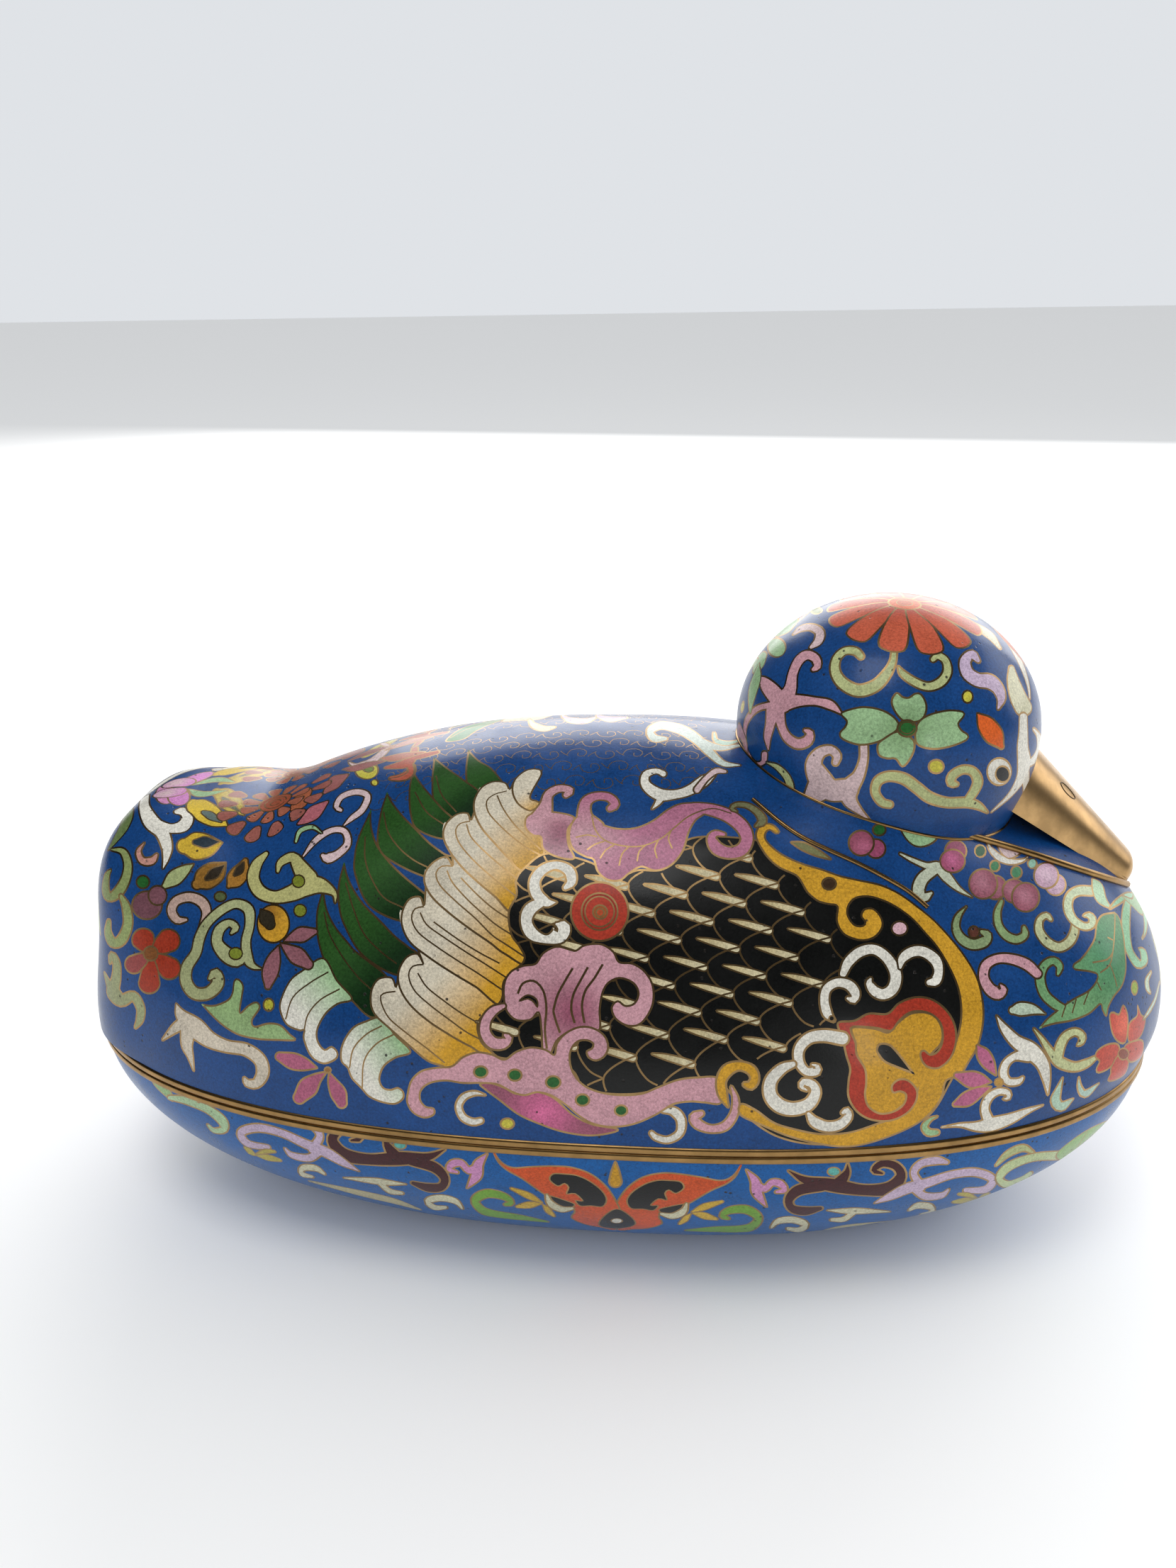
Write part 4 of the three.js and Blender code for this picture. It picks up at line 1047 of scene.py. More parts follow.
def draw_middle():
    """What the photograph shows along the middle line, and what lies beyond it."""
    use_sheet(420, 960, 2.24)
    red = (172, 84, 62)
    on_lid(red,
        vine((372, 203, 9), (366, 235, 13), (342, 262, 14), (276, 276, 4)),
        vine((362, 240, 12), (400, 236, 8), (444, 226, 5)),
        vine((350, 255, 12), (358, 290, 10), (332, 308, 8), (292, 313, 3)))
    on_lid(BLUSH, vine((163, 260, 4), (186, 270, 8), (230, 256, 9), (272, 226, 10), (284, 206, 8),
        (262, 201, 3)))
    on_lid(BLUSH, vine((1352, 288, 6), (1322, 286, 10), (1290, 310, 10), (1262, 345, 12)), both=False)
    once = dict(both=False)
    on_lid((72, 132, 84), blob((468, 192), (505, 158), (558, 138), (652, 122), (600, 142), (560, 162),
        (522, 186)), **once)
    veins([(480, 182), (540, 152), (640, 126)], wire=0.25, **once)
    on_lid(CREAM, vine((648, 128, 3), (700, 116, 11), (758, 112, 12), (800, 108, 4)), **once)
    on_lid(CREAM, vine((733, 124, 5), (745, 142, 10), (780, 152, 9), (814, 147, 3)), **once)
    on_lid(LILAC, vine((836, 112, 4), (860, 125, 9), (910, 128, 8), (942, 117, 3)), **once)
    on_lid(LILAC, vine((945, 112, 4), (985, 122, 9), (1040, 117, 3)), **once)
    on_lid((206, 220, 214), vine((1164, 184, 6), (1126, 182, 13), (1114, 158, 13), (1150, 142, 13),
        (1210, 155, 16), (1260, 185, 16), (1300, 225, 14), (1345, 262, 10), (1398, 268, 3)),
        vine((1262, 190, 14), (1330, 212, 10), (1400, 205, 4)), **once)
    on_lid((176, 214, 196), vine((1316, 166, 5), (1322, 190, 8), (1360, 198, 7), (1402, 188, 3)), **once)

    use_view("top")
    for petal in petals(54.2, -4.0, 2.8, 14.2, 2.5, 12, turn=12):
        on_head(CORAL, petal, glow=((172, 62, 40), (54.2, -4.0), (64, -4.0)), both=False)
    on_head(ORANGE, disc(54.2, -4.0, 3.0), both=False)
    on_head((190, 88, 40), disc(54.2, -4.0, 1.5), both=False, wire=0.2)
    # Spiral flower on the shoulder of the tail
    for ring, (inner, outer, half, count) in enumerate(((3.4, 7.0, 1.3, 11), (7.8, 11.6, 1.6, 14))):
        for petal in petals(-69, -8.4, inner, outer, half, count, turn=8 + 20 * ring):
            if petal[:, 1].max() < -0.8:
                on_lid((150, 88, 80) if ring else (160, 92, 72), petal, wire=0.3)
    on_lid((150, 76, 52), disc(-69, -8.4, 3.3))
    veins(disc(-69, -8.4, 2.2), disc(-69, -8.4, 1.1), wire=0.25)
    # Tail's top, back and nape: scrolls in pairs
    on_lid((206, 130, 200), disc(-93, -2.6, 3.6, 2.9), glow=(BLUSH, (-94, -3), (-89, -3)))
    on_lid(PALE_GREEN, vine((-89.5, -1.2, 0.2), (-85.5, -4.0, 1.5), (-81, -2.4, 0.3)))
    for x, colour in ((-52, (150, 92, 92)), (-44, (172, 96, 72))):
        on_lid(colour, vine((x - 4, -2.4, 0.4), (x, -4.2, 1.9), (x + 5, -4.6, 0.5)))

    use_view("rear")
    for petal in petals(0, 62, 1.7, 8.2, 3.0, 6, turn=30):
        on_lid((158, 52, 30), petal, both=False)
    on_lid(YELLOW, disc(0, 62, 2.0), both=False)
    for curl, colour in (
            (((3.0, 50.5, 1.0), (5.5, 48.5, 1.4), (9, 50, 1.6), (10.5, 54.5, 1.6), (14, 57.5, 1.5),
                (17.5, 55, 1.3), (16.5, 51.5, 1.0)), (160, 166, 124)),
            (((2.5, 75, 0.3), (6.5, 73, 1.6), (11, 75, 1.5), (14.5, 72, 1.5), (13.5, 68, 1.2)), PINK),
            (((1.0, 44.5, 0.4), (7, 42, 1.5), (13, 44, 1.5), (17.5, 47.5, 0.4)), WHITE),
            (((22, 60, 0.4), (19, 65, 1.7), (18.5, 70, 0.4)), PALE_GREEN)):
        on_lid(colour, vine(*curl))
    on_lid(LEMON, disc(11.5, 62, 1.3))
    on_head(PALE_GREEN, vine((1.5, 110, 0.3), (5.5, 107, 2.0), (8.5, 102.5, 0.4)))
    on_head(PINK, vine((2.6, 91, 0.8), (1.2, 93.5, 1.2), (3.5, 97, 1.5), (7.5, 96, 1.3), (8, 92.5, 0.9)))
    on_head(LEMON, disc(3.8, 102, 1.1))

    use_view("front")
    for petal in petals(0, 52, 1.8, 8.4, 3.1, 5, turn=90):
        on_lid((194, 76, 60), petal, both=False)
    on_lid(YELLOW, disc(0, 52, 2.1), both=False)
    for curl, colour in (
            (((2.5, 64, 0.4), (6, 62, 1.5), (11, 63, 1.6), (14, 66.5, 0.4)), PALE_GREEN),
            (((2.0, 41.5, 0.4), (7, 42.5, 1.5), (12, 41.5, 1.5), (15, 44.5, 1.3), (13, 47.5, 0.9)), WHITE),
            (((9.5, 56.5, 0.8), (12.5, 55, 1.3), (13.5, 51.5, 1.4), (17.5, 49.5, 0.4)), CREAM_GREEN)):
        on_lid(colour, vine(*curl))
    on_head(CORAL, vine((0.6, 117, 0.3), (3.5, 114.5, 1.6), (5, 111, 0.4)))
    for view in ("rear", "front"):
        use_view(view)
        on_bowl(LILAC, vine((2.0, 20, 1.0), (4.5, 17, 1.3), (9, 18.5, 1.6), (11.5, 24, 1.6), (17, 27, 1.4),
            (20, 24, 1.0)))
        on_bowl((112, 162, 52), vine((1.5, 30, 0.3), (6, 29, 1.4), (9.5, 31, 0.4)))
        on_bowl(YELLOW, drop(0, 29, 0, 24.5, 1.3), both=False)
        on_bowl(MAROON, vine((22, 31, 0.4), (24, 26, 1.6), (21.5, 20, 1.5), (17, 18.5, 1.2)))
        on_bowl(CREAM, vine((3, 11, 0.4), (9, 10, 1.3), (14, 13, 1.2), (18, 12, 0.4)))


def across(outline, x, slope):
    """The mirror image of an outline across an upright line of a sheet that slopes."""
    return np.column_stack([2 * x - outline[:, 0], outline[:, 1] - 2 * (outline[:, 0] - x) * slope])


def draw_bowl():
    green = (112, 162, 52)
    use_sheet(850, 1540, 1568 / 750)
    butterfly = blob((408, 218), (408, 218), (385, 248), (350, 262), (290, 252), (230, 243), (175, 240),
        (120, 252), (75, 282), (45, 322), (30, 360), (42, 406), (90, 406), (140, 402), (176, 388), (166, 366),
        (210, 352), (262, 326), (320, 292), (365, 272), (392, 250))
    dark = blob((196, 262), (230, 266), (240, 284), (216, 300), (196, 290), (184, 300), (190, 320),
        (165, 316), (142, 335), (164, 336), (150, 350), (118, 346), (84, 344), (72, 322), (86, 298),
        (122, 274), (160, 262))
    for turn in (lambda o: o, lambda o: across(o, 42, 0.062)):
        on_bowl((204, 82, 36), turn(butterfly))
        on_bowl(BLACK, turn(dark), wire=0.3)
        on_bowl(BLACK, turn(blob((166, 350), (192, 340), (248, 332), (238, 360), (200, 369))), wire=0.3)
        on_bowl(CREAM, turn(vine((170, 360, 4), (205, 367, 9), (238, 354, 11), (248, 332, 6))))
        for sprig in (((262, 355, 2), (300, 340, 10), (354, 324, 4)),
                ((265, 358, 2), (300, 366, 10), (338, 376, 4)),
                ((260, 360, 2), (245, 375, 9), (226, 390, 4))):
            on_bowl((206, 170, 56), turn(vine(*sprig)), wire=0.3)
        on_bowl(green, turn(vine((372, 374, 5), (352, 366, 9), (375, 350, 11), (425, 348, 13), (460, 372, 13),
            (440, 398, 12), (400, 405, 10), (330, 406, 8), (244, 409, 2))))
        on_bowl((200, 140, 190),
            turn(vine((424, 230, 2), (450, 265, 15), (455, 295, 17), (470, 320, 10), (484, 340, 2))),
            turn(vine((455, 278, 14), (480, 286, 11), (500, 268, 11), (525, 272, 12), (538, 290, 9),
                (512, 296, 5))))
        on_bowl(MAROON,
            turn(vine((548, 233, 3), (600, 262, 13), (680, 276, 21), (770, 290, 17), (845, 285, 20),
                (880, 250, 17), (865, 220, 14), (825, 212, 12), (800, 232, 10), (826, 241, 5))),
            turn(vine((695, 274, 22), (720, 240, 12), (723, 212, 3))),
            turn(vine((650, 278, 16), (580, 290, 17), (550, 318, 15), (560, 345, 13), (600, 352, 13),
                (645, 344, 6))))
        on_bowl((96, 176, 170), turn(disc(682, 236, 19, 13)), wire=0.3)
        on_bowl(LILAC,
            turn(vine((802, 329, 2), (850, 308, 12), (900, 285, 16), (960, 268, 14), (1030, 245, 12),
                (1100, 238, 13), (1150, 258, 13), (1130, 288, 11), (1070, 292, 8))),
            turn(vine((940, 280, 14), (918, 240, 12), (940, 212, 12), (985, 203, 13), (1016, 208, 7))),
            turn(vine((920, 285, 14), (950, 308, 12), (1000, 306, 9), (1021, 289, 4))))
        on_bowl(CREAM, turn(vine((663, 350, 2), (715, 352, 8), (760, 352, 9), (848, 354, 2))),
            turn(vine((742, 354, 9), (712, 376, 8), (674, 378, 5))))
        on_bowl(CREAM, turn(vine((498, 400, 5), (518, 382, 9), (562, 378, 10), (600, 392, 10), (580, 408, 8),
            (545, 404, 5))))
        on_bowl(CREAM, turn(vine((903, 350, 4), (930, 336, 9), (968, 340, 10), (970, 358, 8), (938, 363, 4))))
        on_bowl((184, 176, 140), turn(vine((620, 420, 2), (700, 404, 8), (800, 393, 8), (950, 376, 2))),
            wire=0.3)
        for sprig in (((1106, 319, 2), (1070, 322, 9), (1033, 326, 4)),
                ((1108, 318, 2), (1080, 305, 7), (1050, 302, 4)),
                ((1108, 320, 2), (1122, 312, 8), (1140, 300, 3))):
            on_bowl((180, 166, 66), turn(vine(*sprig)), wire=0.3)
    on_bowl(BLACK, blob((-10, 394), (6, 366), (42, 346), (80, 366), (96, 392), (42, 404)), wire=0.3)
    on_bowl(WHITE, disc(42, 381, 17, 7), wire=0.3)
    on_bowl(YELLOW, vine((38, 208, 2), (38, 235, 12), (38, 264, 19)))
    on_bowl(CREAM_GREEN, vine((1160, 218, 4), (1195, 184, 10), (1240, 166, 11), (1270, 180, 6)))
    on_bowl((184, 200, 150), vine((1264, 240, 6), (1235, 262, 10), (1195, 275, 12), (1170, 255, 12),
        (1200, 220, 13), (1270, 194, 12), (1350, 188, 14)))
    on_bowl((140, 180, 110), blob((1340, 182), (1400, 132), (1460, 98), (1520, 76), (1556, 34), (1548, 84),
        (1510, 132), (1450, 170), (1390, 204), (1350, 204)))
    veins([(1360, 190), (1420, 150), (1480, 118), (1545, 60)], [(1400, 165), (1430, 118)],
        [(1440, 145), (1490, 135)], part="bowl", wire=0.3)
    use_sheet(150, 1500, 2.24)
    on_bowl((150, 184, 130), vine((128, 12, 4), (165, 60, 16), (208, 112, 8)))
    on_bowl((170, 200, 160), vine((200, 108, 8), (255, 118, 13), (320, 145, 13), (365, 180, 15),
        (372, 208, 13), (340, 212, 8), (320, 194, 4)))
    on_bowl(CREAM, vine((292, 122, 3), (280, 98, 8), (305, 88, 9), (335, 105, 8), (364, 135, 2)))


draw_clouds()
draw_head()
draw_rear()
draw_wing()
draw_breast()
draw_middle()
draw_bowl()


def linear(colour):
    """A colour as the shaders take it. Fired glass is deeper than its colour under strong light."""
    c = np.array(colour) / 255
    return np.where(c <= 0.04045, c / 12.92, ((c + 0.055) / 1.055) ** 2.4) * GLASS_DEPTH


def mirrored(outlines):
    """What is drawn on one side is drawn on both and ends at the middle line, unless it lies across it."""
    beyond = np.mean(np.vstack(outlines)[:, 1] > -MIDDLE_GAP)
    if beyond > BEYOND_MIDDLE:
        return [outlines]
    kept = [np.column_stack([o[:, 0], np.minimum(o[:, 1], -MIDDLE_GAP), o[:, 2]]) for o in outlines]
    return [kept, [o * (1, -1, 1) for o in kept]]


def laid_cells():
    """The motifs' outlines on the surfaces, on both sides of the duck, grouped by part."""
    cells = {part: [] for part in CHARTS}
    for part, field in FIELDS.items():
        motifs = [m for m in MOTIFS if m["part"] == part]
        rows = [(m["view"], o) for m in motifs for o in m["outlines"]]
        rows += [(m["view"], m["marks"]) for m in motifs if m["marks"] is not None]
        sights = [sight_lines(view, row) for view, row in rows]
        starts, rays = (np.vstack([sight[k] for sight in sights]) for k in (0, 1))
        solid = np.split(cast(starts, rays, field), np.cumsum([len(row) for _, row in rows])[:-1])
        lines = iter(solid)
        marked = iter(solid[sum(len(m["outlines"]) for m in motifs) :])
        for m in motifs:
            outlines = [next(lines) for _ in m["outlines"]]
            marks = next(marked) if m["marks"] is not None else None
            outlines = [o[np.abs(field(o)) < ON_SURFACE] for o in outlines]
            outlines = [o for o in outlines if len(o) > 5 or (m["open"] and len(o) > 2)]
            if not outlines:
                continue
            for k, side in enumerate(mirrored(outlines) if m["both"] else [outlines]):
                cell = dict(m, outlines=side)
                cell["marks"] = None if marks is None else marks * (1, -1 if k else 1, 1)
                cells[part].append(cell)
    return cells


def washed(colour, cell, places):
    """The colour of a cell at some places, with its second colours."""
    shades = np.broadcast_to(linear(colour), places.shape)
    marks = cell["marks"]
    if cell["fade"]:
        run = marks[1] - marks[0]
        share = np.clip((places - marks[0]) @ run / (run @ run), 0, 1)[..., None]
        shades = shades * (1 - share) + linear(cell["fade"][0]) * share
        marks = marks[2:]
    if cell["glow"]:
        reach = np.linalg.norm(marks[1] - marks[0])
        share = 1 - np.clip(np.linalg.norm(places - marks[0], axis=-1) / reach, 0, 1)[..., None]
        share = share * share * (3 - 2 * share)
        shades = shades * (1 - share) + linear(cell["glow"][0]) * share
    return shades


def widened(chart, line, width, is_open):
    """A wire's edges on the chart: the outer and inner one of a closed wire, or one round an open wire."""
    step = np.gradient(line, axis=0)
    if not is_open:
        step = np.roll(line, -1, 0) - np.roll(line, 1, 0)
    side = np.cross(chart.normals(line), step)
    side *= width / 2 / (np.linalg.norm(side, axis=1)[:, None] + TINY)
    one, other = chart.flat(line + side), chart.flat(line - side)
    if is_open:
        return np.vstack([one, other[::-1]]), None
    sizes = [abs(np.cross(e, np.roll(e, -1, 0)).sum()) for e in (one, other)]
    return (one, other) if sizes[0] > sizes[1] else (other, one)


def cell_mesh(chart, ground, cells, rims, spacing=GRID):
    """A surface cut along every wire's edges. rims are the chart's outer outline and the holes in it.
    Returns its places, its triangles, a colour for each corner and which triangles are wire."""
    edges_of = []
    lines = list(rims)
    for cell in cells:
        edges = [widened(chart, o, cell["wire"], cell["open"]) for o in cell["outlines"]]
        edges_of.append(edges)
        lines += [e for pair in edges for e in pair if e is not None]
    low, high = rims[0].min(0), rims[0].max(0)
    columns = np.arange(low[0], high[0], spacing)
    rows = np.arange(low[1], high[1], spacing * 0.866)
    x, y = np.meshgrid(columns, rows)
    x[1::2] += spacing / 2
    grid = np.column_stack([x.ravel(), y.ravel()])
    grid = grid[within(grid, rims[0])]
    points = np.vstack([*lines, grid])
    joins = []
    start = 0
    for line in lines:
        count = len(line)
        joins += [(start + i, start + (i + 1) % count) for i in range(count)]
        start += count
    made = delaunay_2d_cdt([Vector(p) for p in points], joins, [], 0, 1e-6)
    flat = np.array([v[:] for v in made[0]])
    triangles = np.array(made[2])
    middles = flat[triangles].mean(1)
    keep = within(middles, rims[0])
    for hole in rims[1:]:
        keep &= ~within(middles, hole)
    triangles, middles = triangles[keep], middles[keep]
    solid = chart.solid(flat)
    colours = np.tile(linear(ground), (len(triangles), 3, 1))
    is_wire = np.zeros(len(triangles), bool)
    order = np.argsort(middles[:, 0])
    sorted_x = middles[order, 0]

    def covered(outline):
        low, high = np.searchsorted(sorted_x, [outline[:, 0].min(), outline[:, 0].max()])
        near = order[low:high]
        y = middles[near, 1]
        near = near[(y > outline[:, 1].min()) & (y < outline[:, 1].max())]
        return near[within(middles[near], outline)]

    for cell, edges in zip(cells, edges_of):
        for outer, _ in edges:
            is_wire[covered(outer)] = True
        if cell["open"]:
            continue
        for _, inner in edges:
            found = covered(inner)
            is_wire[found] = False
            colours[found] = washed(cell["colour"], cell, solid[triangles[found]])
    return solid, triangles, colours, is_wire


# Finishes


def node(tree, kind, place, inputs=None, **settings):
    made = tree.nodes.new(kind)
    made.location = place
    for name, value in settings.items():
        setattr(made, name, value)
    for name, value in (inputs or {}).items():
        made.inputs[name].default_value = value
    return made


def new_material(name):
    material = bpy.data.materials.new(name)
    material.use_nodes = True
    shader = material.node_tree.nodes["Principled BSDF"]
    return material, material.node_tree, shader


def span(tree, place, low, high, to_low=0.0, to_high=1.0):
    """A node that takes values from low to high to values from to_low to to_high."""
    ends = {"From Min": low, "From Max": high, "To Min": to_low, "To Max": to_high}
    return node(tree, "ShaderNodeMapRange", place, ends)


def link(tree, *joints):
    """Links nodes, each joint being a node, its output, the next node and its input."""
    for source, output, target, entry in joints:
        tree.links.new(source.outputs[output], target.inputs[entry])


def grain_group():
    """Ground glass: pale and dark grains, clouds and small pits, as a colour and a height."""
    group = bpy.data.node_groups.new("glass_grain", "ShaderNodeTree")
    for name, way, kind in (
        ("Color", "INPUT", "Color"), ("Grain", "INPUT", "Float"), ("Pits", "INPUT", "Float"),
        ("Color", "OUTPUT", "Color"), ("Height", "OUTPUT", "Float"), ("Roughness", "OUTPUT", "Float"),
    ):
        group.interface.new_socket(name=name, in_out=way, socket_type="NodeSocket" + kind)
    enter = node(group, "NodeGroupInput", (-900, 0))
    leave = node(group, "NodeGroupOutput", (900, 0))
    place = node(group, "ShaderNodeTexCoord", (-900, -300))
    fine = node(group, "ShaderNodeTexNoise", (-650, 200), {"Scale": 2300.0, "Detail": 2.0, "Roughness": 0.8})
    cloud = node(group, "ShaderNodeTexNoise", (-650, -50), {"Scale": 110.0, "Detail": 4.0, "Roughness": 0.6})
    pits = node(group, "ShaderNodeTexVoronoi", (-650, -300), {"Scale": 520.0})
    chance = node(group, "ShaderNodeTexNoise", (-650, -550), {"Scale": 260.0, "Detail": 1.0})
    for texture in (fine, cloud, pits, chance):
        link(group, (place, "Object", texture, "Vector"))
    # Grains and clouds make the colour lighter and darker
    swing = span(group, (-420, 200), 0.3, 0.7, -1.0, 1.0)
    drift = span(group, (-420, -50), 0.3, 0.7, 0.86, 1.14)
    strength = node(group, "ShaderNodeMath", (-220, 200), operation="MULTIPLY")
    lift = node(group, "ShaderNodeMath", (-60, 200), operation="ADD")
    shade = node(group, "ShaderNodeVectorMath", (120, 100), operation="SCALE")
    link(group, (fine, "Fac", swing, "Value"), (cloud, "Fac", drift, "Value"),
         (swing, "Result", strength, 0), (enter, "Grain", strength, 1),
         (strength, 0, lift, 0), (drift, "Result", lift, 1),
         (enter, "Color", shade, 0), (lift, 0, shade, "Scale"))
    # Pits are rare, dark and sunk
    hole = span(group, (-420, -300), 0.10, 0.17, 1.0, 0.0)
    rare = span(group, (-420, -550), 0.56, 0.60)
    both = node(group, "ShaderNodeMath", (-220, -400), operation="MULTIPLY")
    depth = node(group, "ShaderNodeMath", (-60, -400), operation="MULTIPLY")
    darken = node(group, "ShaderNodeMix", (330, 60), data_type="RGBA")
    darken.inputs["B"].default_value = (0.015, 0.012, 0.01, 1)
    link(group, (pits, "Distance", hole, "Value"), (chance, "Fac", rare, "Value"),
         (hole, "Result", both, 0), (rare, "Result", both, 1),
         (both, 0, depth, 0), (enter, "Pits", depth, 1),
         (depth, 0, darken, "Factor"), (shade, "Vector", darken, "A"), (darken, "Result", leave, "Color"))
    relief = node(group, "ShaderNodeMath", (330, -250), operation="SUBTRACT")
    soft = node(group, "ShaderNodeMath", (120, -200), {1: 0.25}, operation="MULTIPLY")
    matt = span(group, (330, -450), 0.3, 0.7, 0.24, 0.38)
    link(group, (fine, "Fac", soft, 0), (soft, 0, relief, 0), (depth, 0, relief, 1),
         (relief, 0, leave, "Height"), (cloud, "Fac", matt, "Value"), (matt, "Result", leave, "Roughness"))
    return group


GRAIN = grain_group()


def enamel_material():
    material, tree, shader = new_material("cloisonne_enamel")
    paint = node(tree, "ShaderNodeAttribute", (-700, 200), attribute_name="enamel")
    grain = node(tree, "ShaderNodeGroup", (-450, 200), node_tree=GRAIN)
    grain.inputs["Grain"].default_value = 0.3
    grain.inputs["Pits"].default_value = 0.9
    bump = node(tree, "ShaderNodeBump", (-200, -200), {"Strength": 0.6, "Distance": 0.00016})
    link(tree, (paint, "Color", grain, "Color"), (grain, "Color", shader, "Base Color"),
         (grain, "Roughness", shader, "Roughness"), (grain, "Height", bump, "Height"),
         (bump, "Normal", shader, "Normal"))
    shader.inputs["Coat Weight"].default_value = 0.12
    shader.inputs["Coat Roughness"].default_value = 0.12
    shader.inputs["Specular IOR Level"].default_value = 0.2
    return material


def lining_material():
    material, tree, shader = new_material("lining_enamel")
    grain = node(tree, "ShaderNodeGroup", (-450, 200), node_tree=GRAIN)
    grain.inputs["Color"].default_value = (0.03, 0.24, 0.34, 1)
    grain.inputs["Grain"].default_value = 0.12
    grain.inputs["Pits"].default_value = 0.9
    link(tree, (grain, "Color", shader, "Base Color"), (grain, "Roughness", shader, "Roughness"))
    return material


def metal_material(name, colour, roughness, wear=0.3):
    material, tree, shader = new_material(name)
    place = node(tree, "ShaderNodeTexCoord", (-900, 0))
    clouding = {"Scale": 180.0, "Detail": 5.0, "Roughness": 0.65}
    tarnish = node(tree, "ShaderNodeTexNoise", (-700, 100), clouding)
    ramp = span(tree, (-500, 100), 0.35, 0.65)
    mix = node(tree, "ShaderNodeMix", (-300, 150), data_type="RGBA")
    mix.inputs["A"].default_value = (*colour, 1)
    mix.inputs["B"].default_value = (*[c * (1 - wear) for c in colour], 1)
    rough = span(tree, (-300, -100), 0.0, 1.0, roughness - 0.08, roughness + 0.12)
    bump = node(tree, "ShaderNodeBump", (-200, -300), {"Strength": 0.2, "Distance": 0.0001})
    link(tree, (place, "Object", tarnish, "Vector"), (tarnish, "Fac", ramp, "Value"),
         (ramp, "Result", mix, "Factor"), (mix, "Result", shader, "Base Color"),
         (tarnish, "Fac", rough, "Value"), (rough, "Result", shader, "Roughness"),
         (tarnish, "Fac", bump, "Height"), (bump, "Normal", shader, "Normal"))
    shader.inputs["Metallic"].default_value = 1.0
    return material


ENAMEL = enamel_material()
LINING = lining_material()
GILT_WIRE = metal_material("gilt_wire", (0.42, 0.27, 0.12), 0.36)
BAND_BRASS = metal_material("band_brass", (0.40, 0.24, 0.09), 0.34)
BEAK_BRASS = metal_material("beak_brass", (0.54, 0.34, 0.15), 0.30)
DARK_BRASS = metal_material("dark_brass", (0.10, 0.07, 0.04), 0.5)


# Pieces


def new_piece(name, places, faces, materials):
    mesh = bpy.data.meshes.new(name)
    mesh.from_pydata((places * MM).tolist(), [], faces.tolist())
    for material in materials:
        mesh.materials.append(material)
    mesh.shade_smooth()
    piece = bpy.data.objects.new(name, mesh)
    bpy.context.scene.collection.objects.link(piece)
    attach(piece, "root")
    return piece


def enamel_piece(name, chart, slot, solid, triangles, colours, is_wire):
    used, index = np.unique(triangles, return_inverse=True)
    faces = index.reshape(-1, 3)
    places = solid[used]
    normals = chart.normals(places)
    a, b, c = (places[faces[:, i]] for i in range(3))
    backward = (np.cross(b - a, c - a) * normals[faces[:, 0]]).sum(1) < 0
    faces[backward] = faces[backward][:, ::-1]
    colours = np.where(backward[:, None, None], colours[:, ::-1], colours)
    mesh = new_piece(name, places, faces, [ENAMEL, GILT_WIRE]).data
    mesh.polygons.foreach_set("material_index", is_wire.astype(np.int32))
    layer = mesh.color_attributes.new("enamel", "FLOAT_COLOR", "CORNER")
    rgba = np.concatenate([colours.reshape(-1, 3), np.ones((len(faces) * 3, 1))], 1)
    layer.data.foreach_set("color", rgba.astype(np.float32).ravel())
    mesh.normals_split_custom_set_from_vertices(normals.tolist())
    mesh.validate()


def edge_line(chart, reach):
    """An oval as wide and long as a chart, at some times its size."""
    turns = np.linspace(0, 2 * math.pi, EDGE_STEPS, endpoint=False)
    return np.column_stack([np.cos(turns), np.sin(turns)]) * chart.half[:2] * reach


def cut_up(prefix, stretches, cuts, chart, slot, surface):
    """The pieces of an enamelled surface, from the tail to the front, each with a right and a left half."""
    solid, triangles, colours, is_wire = surface
    middles = solid[triangles].mean(1)
    stretch_of = sum(middles[:, 0] >= cut for cut in cuts)
    is_left = middles[:, 1] > 0
    for k, stretch in enumerate(stretches):
        for left, side in enumerate(("right", "left")):
            mine = (stretch_of == k) & (is_left == bool(left))
            cells = triangles[mine], colours[mine], is_wire[mine]
            enamel_piece(f"{prefix}_{stretch}_{side}", chart, slot, solid, *cells)


def make_enamel():
    cells = laid_cells()
    neck = neck_line()
    rims = [edge_line(TORSO, math.pi / 2), TORSO.flat(neck)]
    torso = cell_mesh(TORSO, COBALT, cells["torso"], rims)
    cut_up("lid", ("tail", "wing", "breast"), LID_CUTS, TORSO, "lid_enamel", torso)
    head = cell_mesh(HEAD_TOP, COBALT, cells["head"], [HEAD_TOP.flat(neck)], GRID * 0.7)
    cut_up("lid", ("head",), (), HEAD_TOP, "lid_enamel", head)
    shape = edge_line(BOWL, 1)
    reach = 1 + (BOWL.steepest - BOWL.flattest) / BOWL.steepest * BOWL.unroll
    rim = shape / BOWL.oval_size(shape)[:, None] * reach
    bowl = cell_mesh(BOWL, AZURE, cells["bowl"], [rim])
    cut_up("base", ("rear", "front"), (0,), BOWL, "base_enamel", bowl)


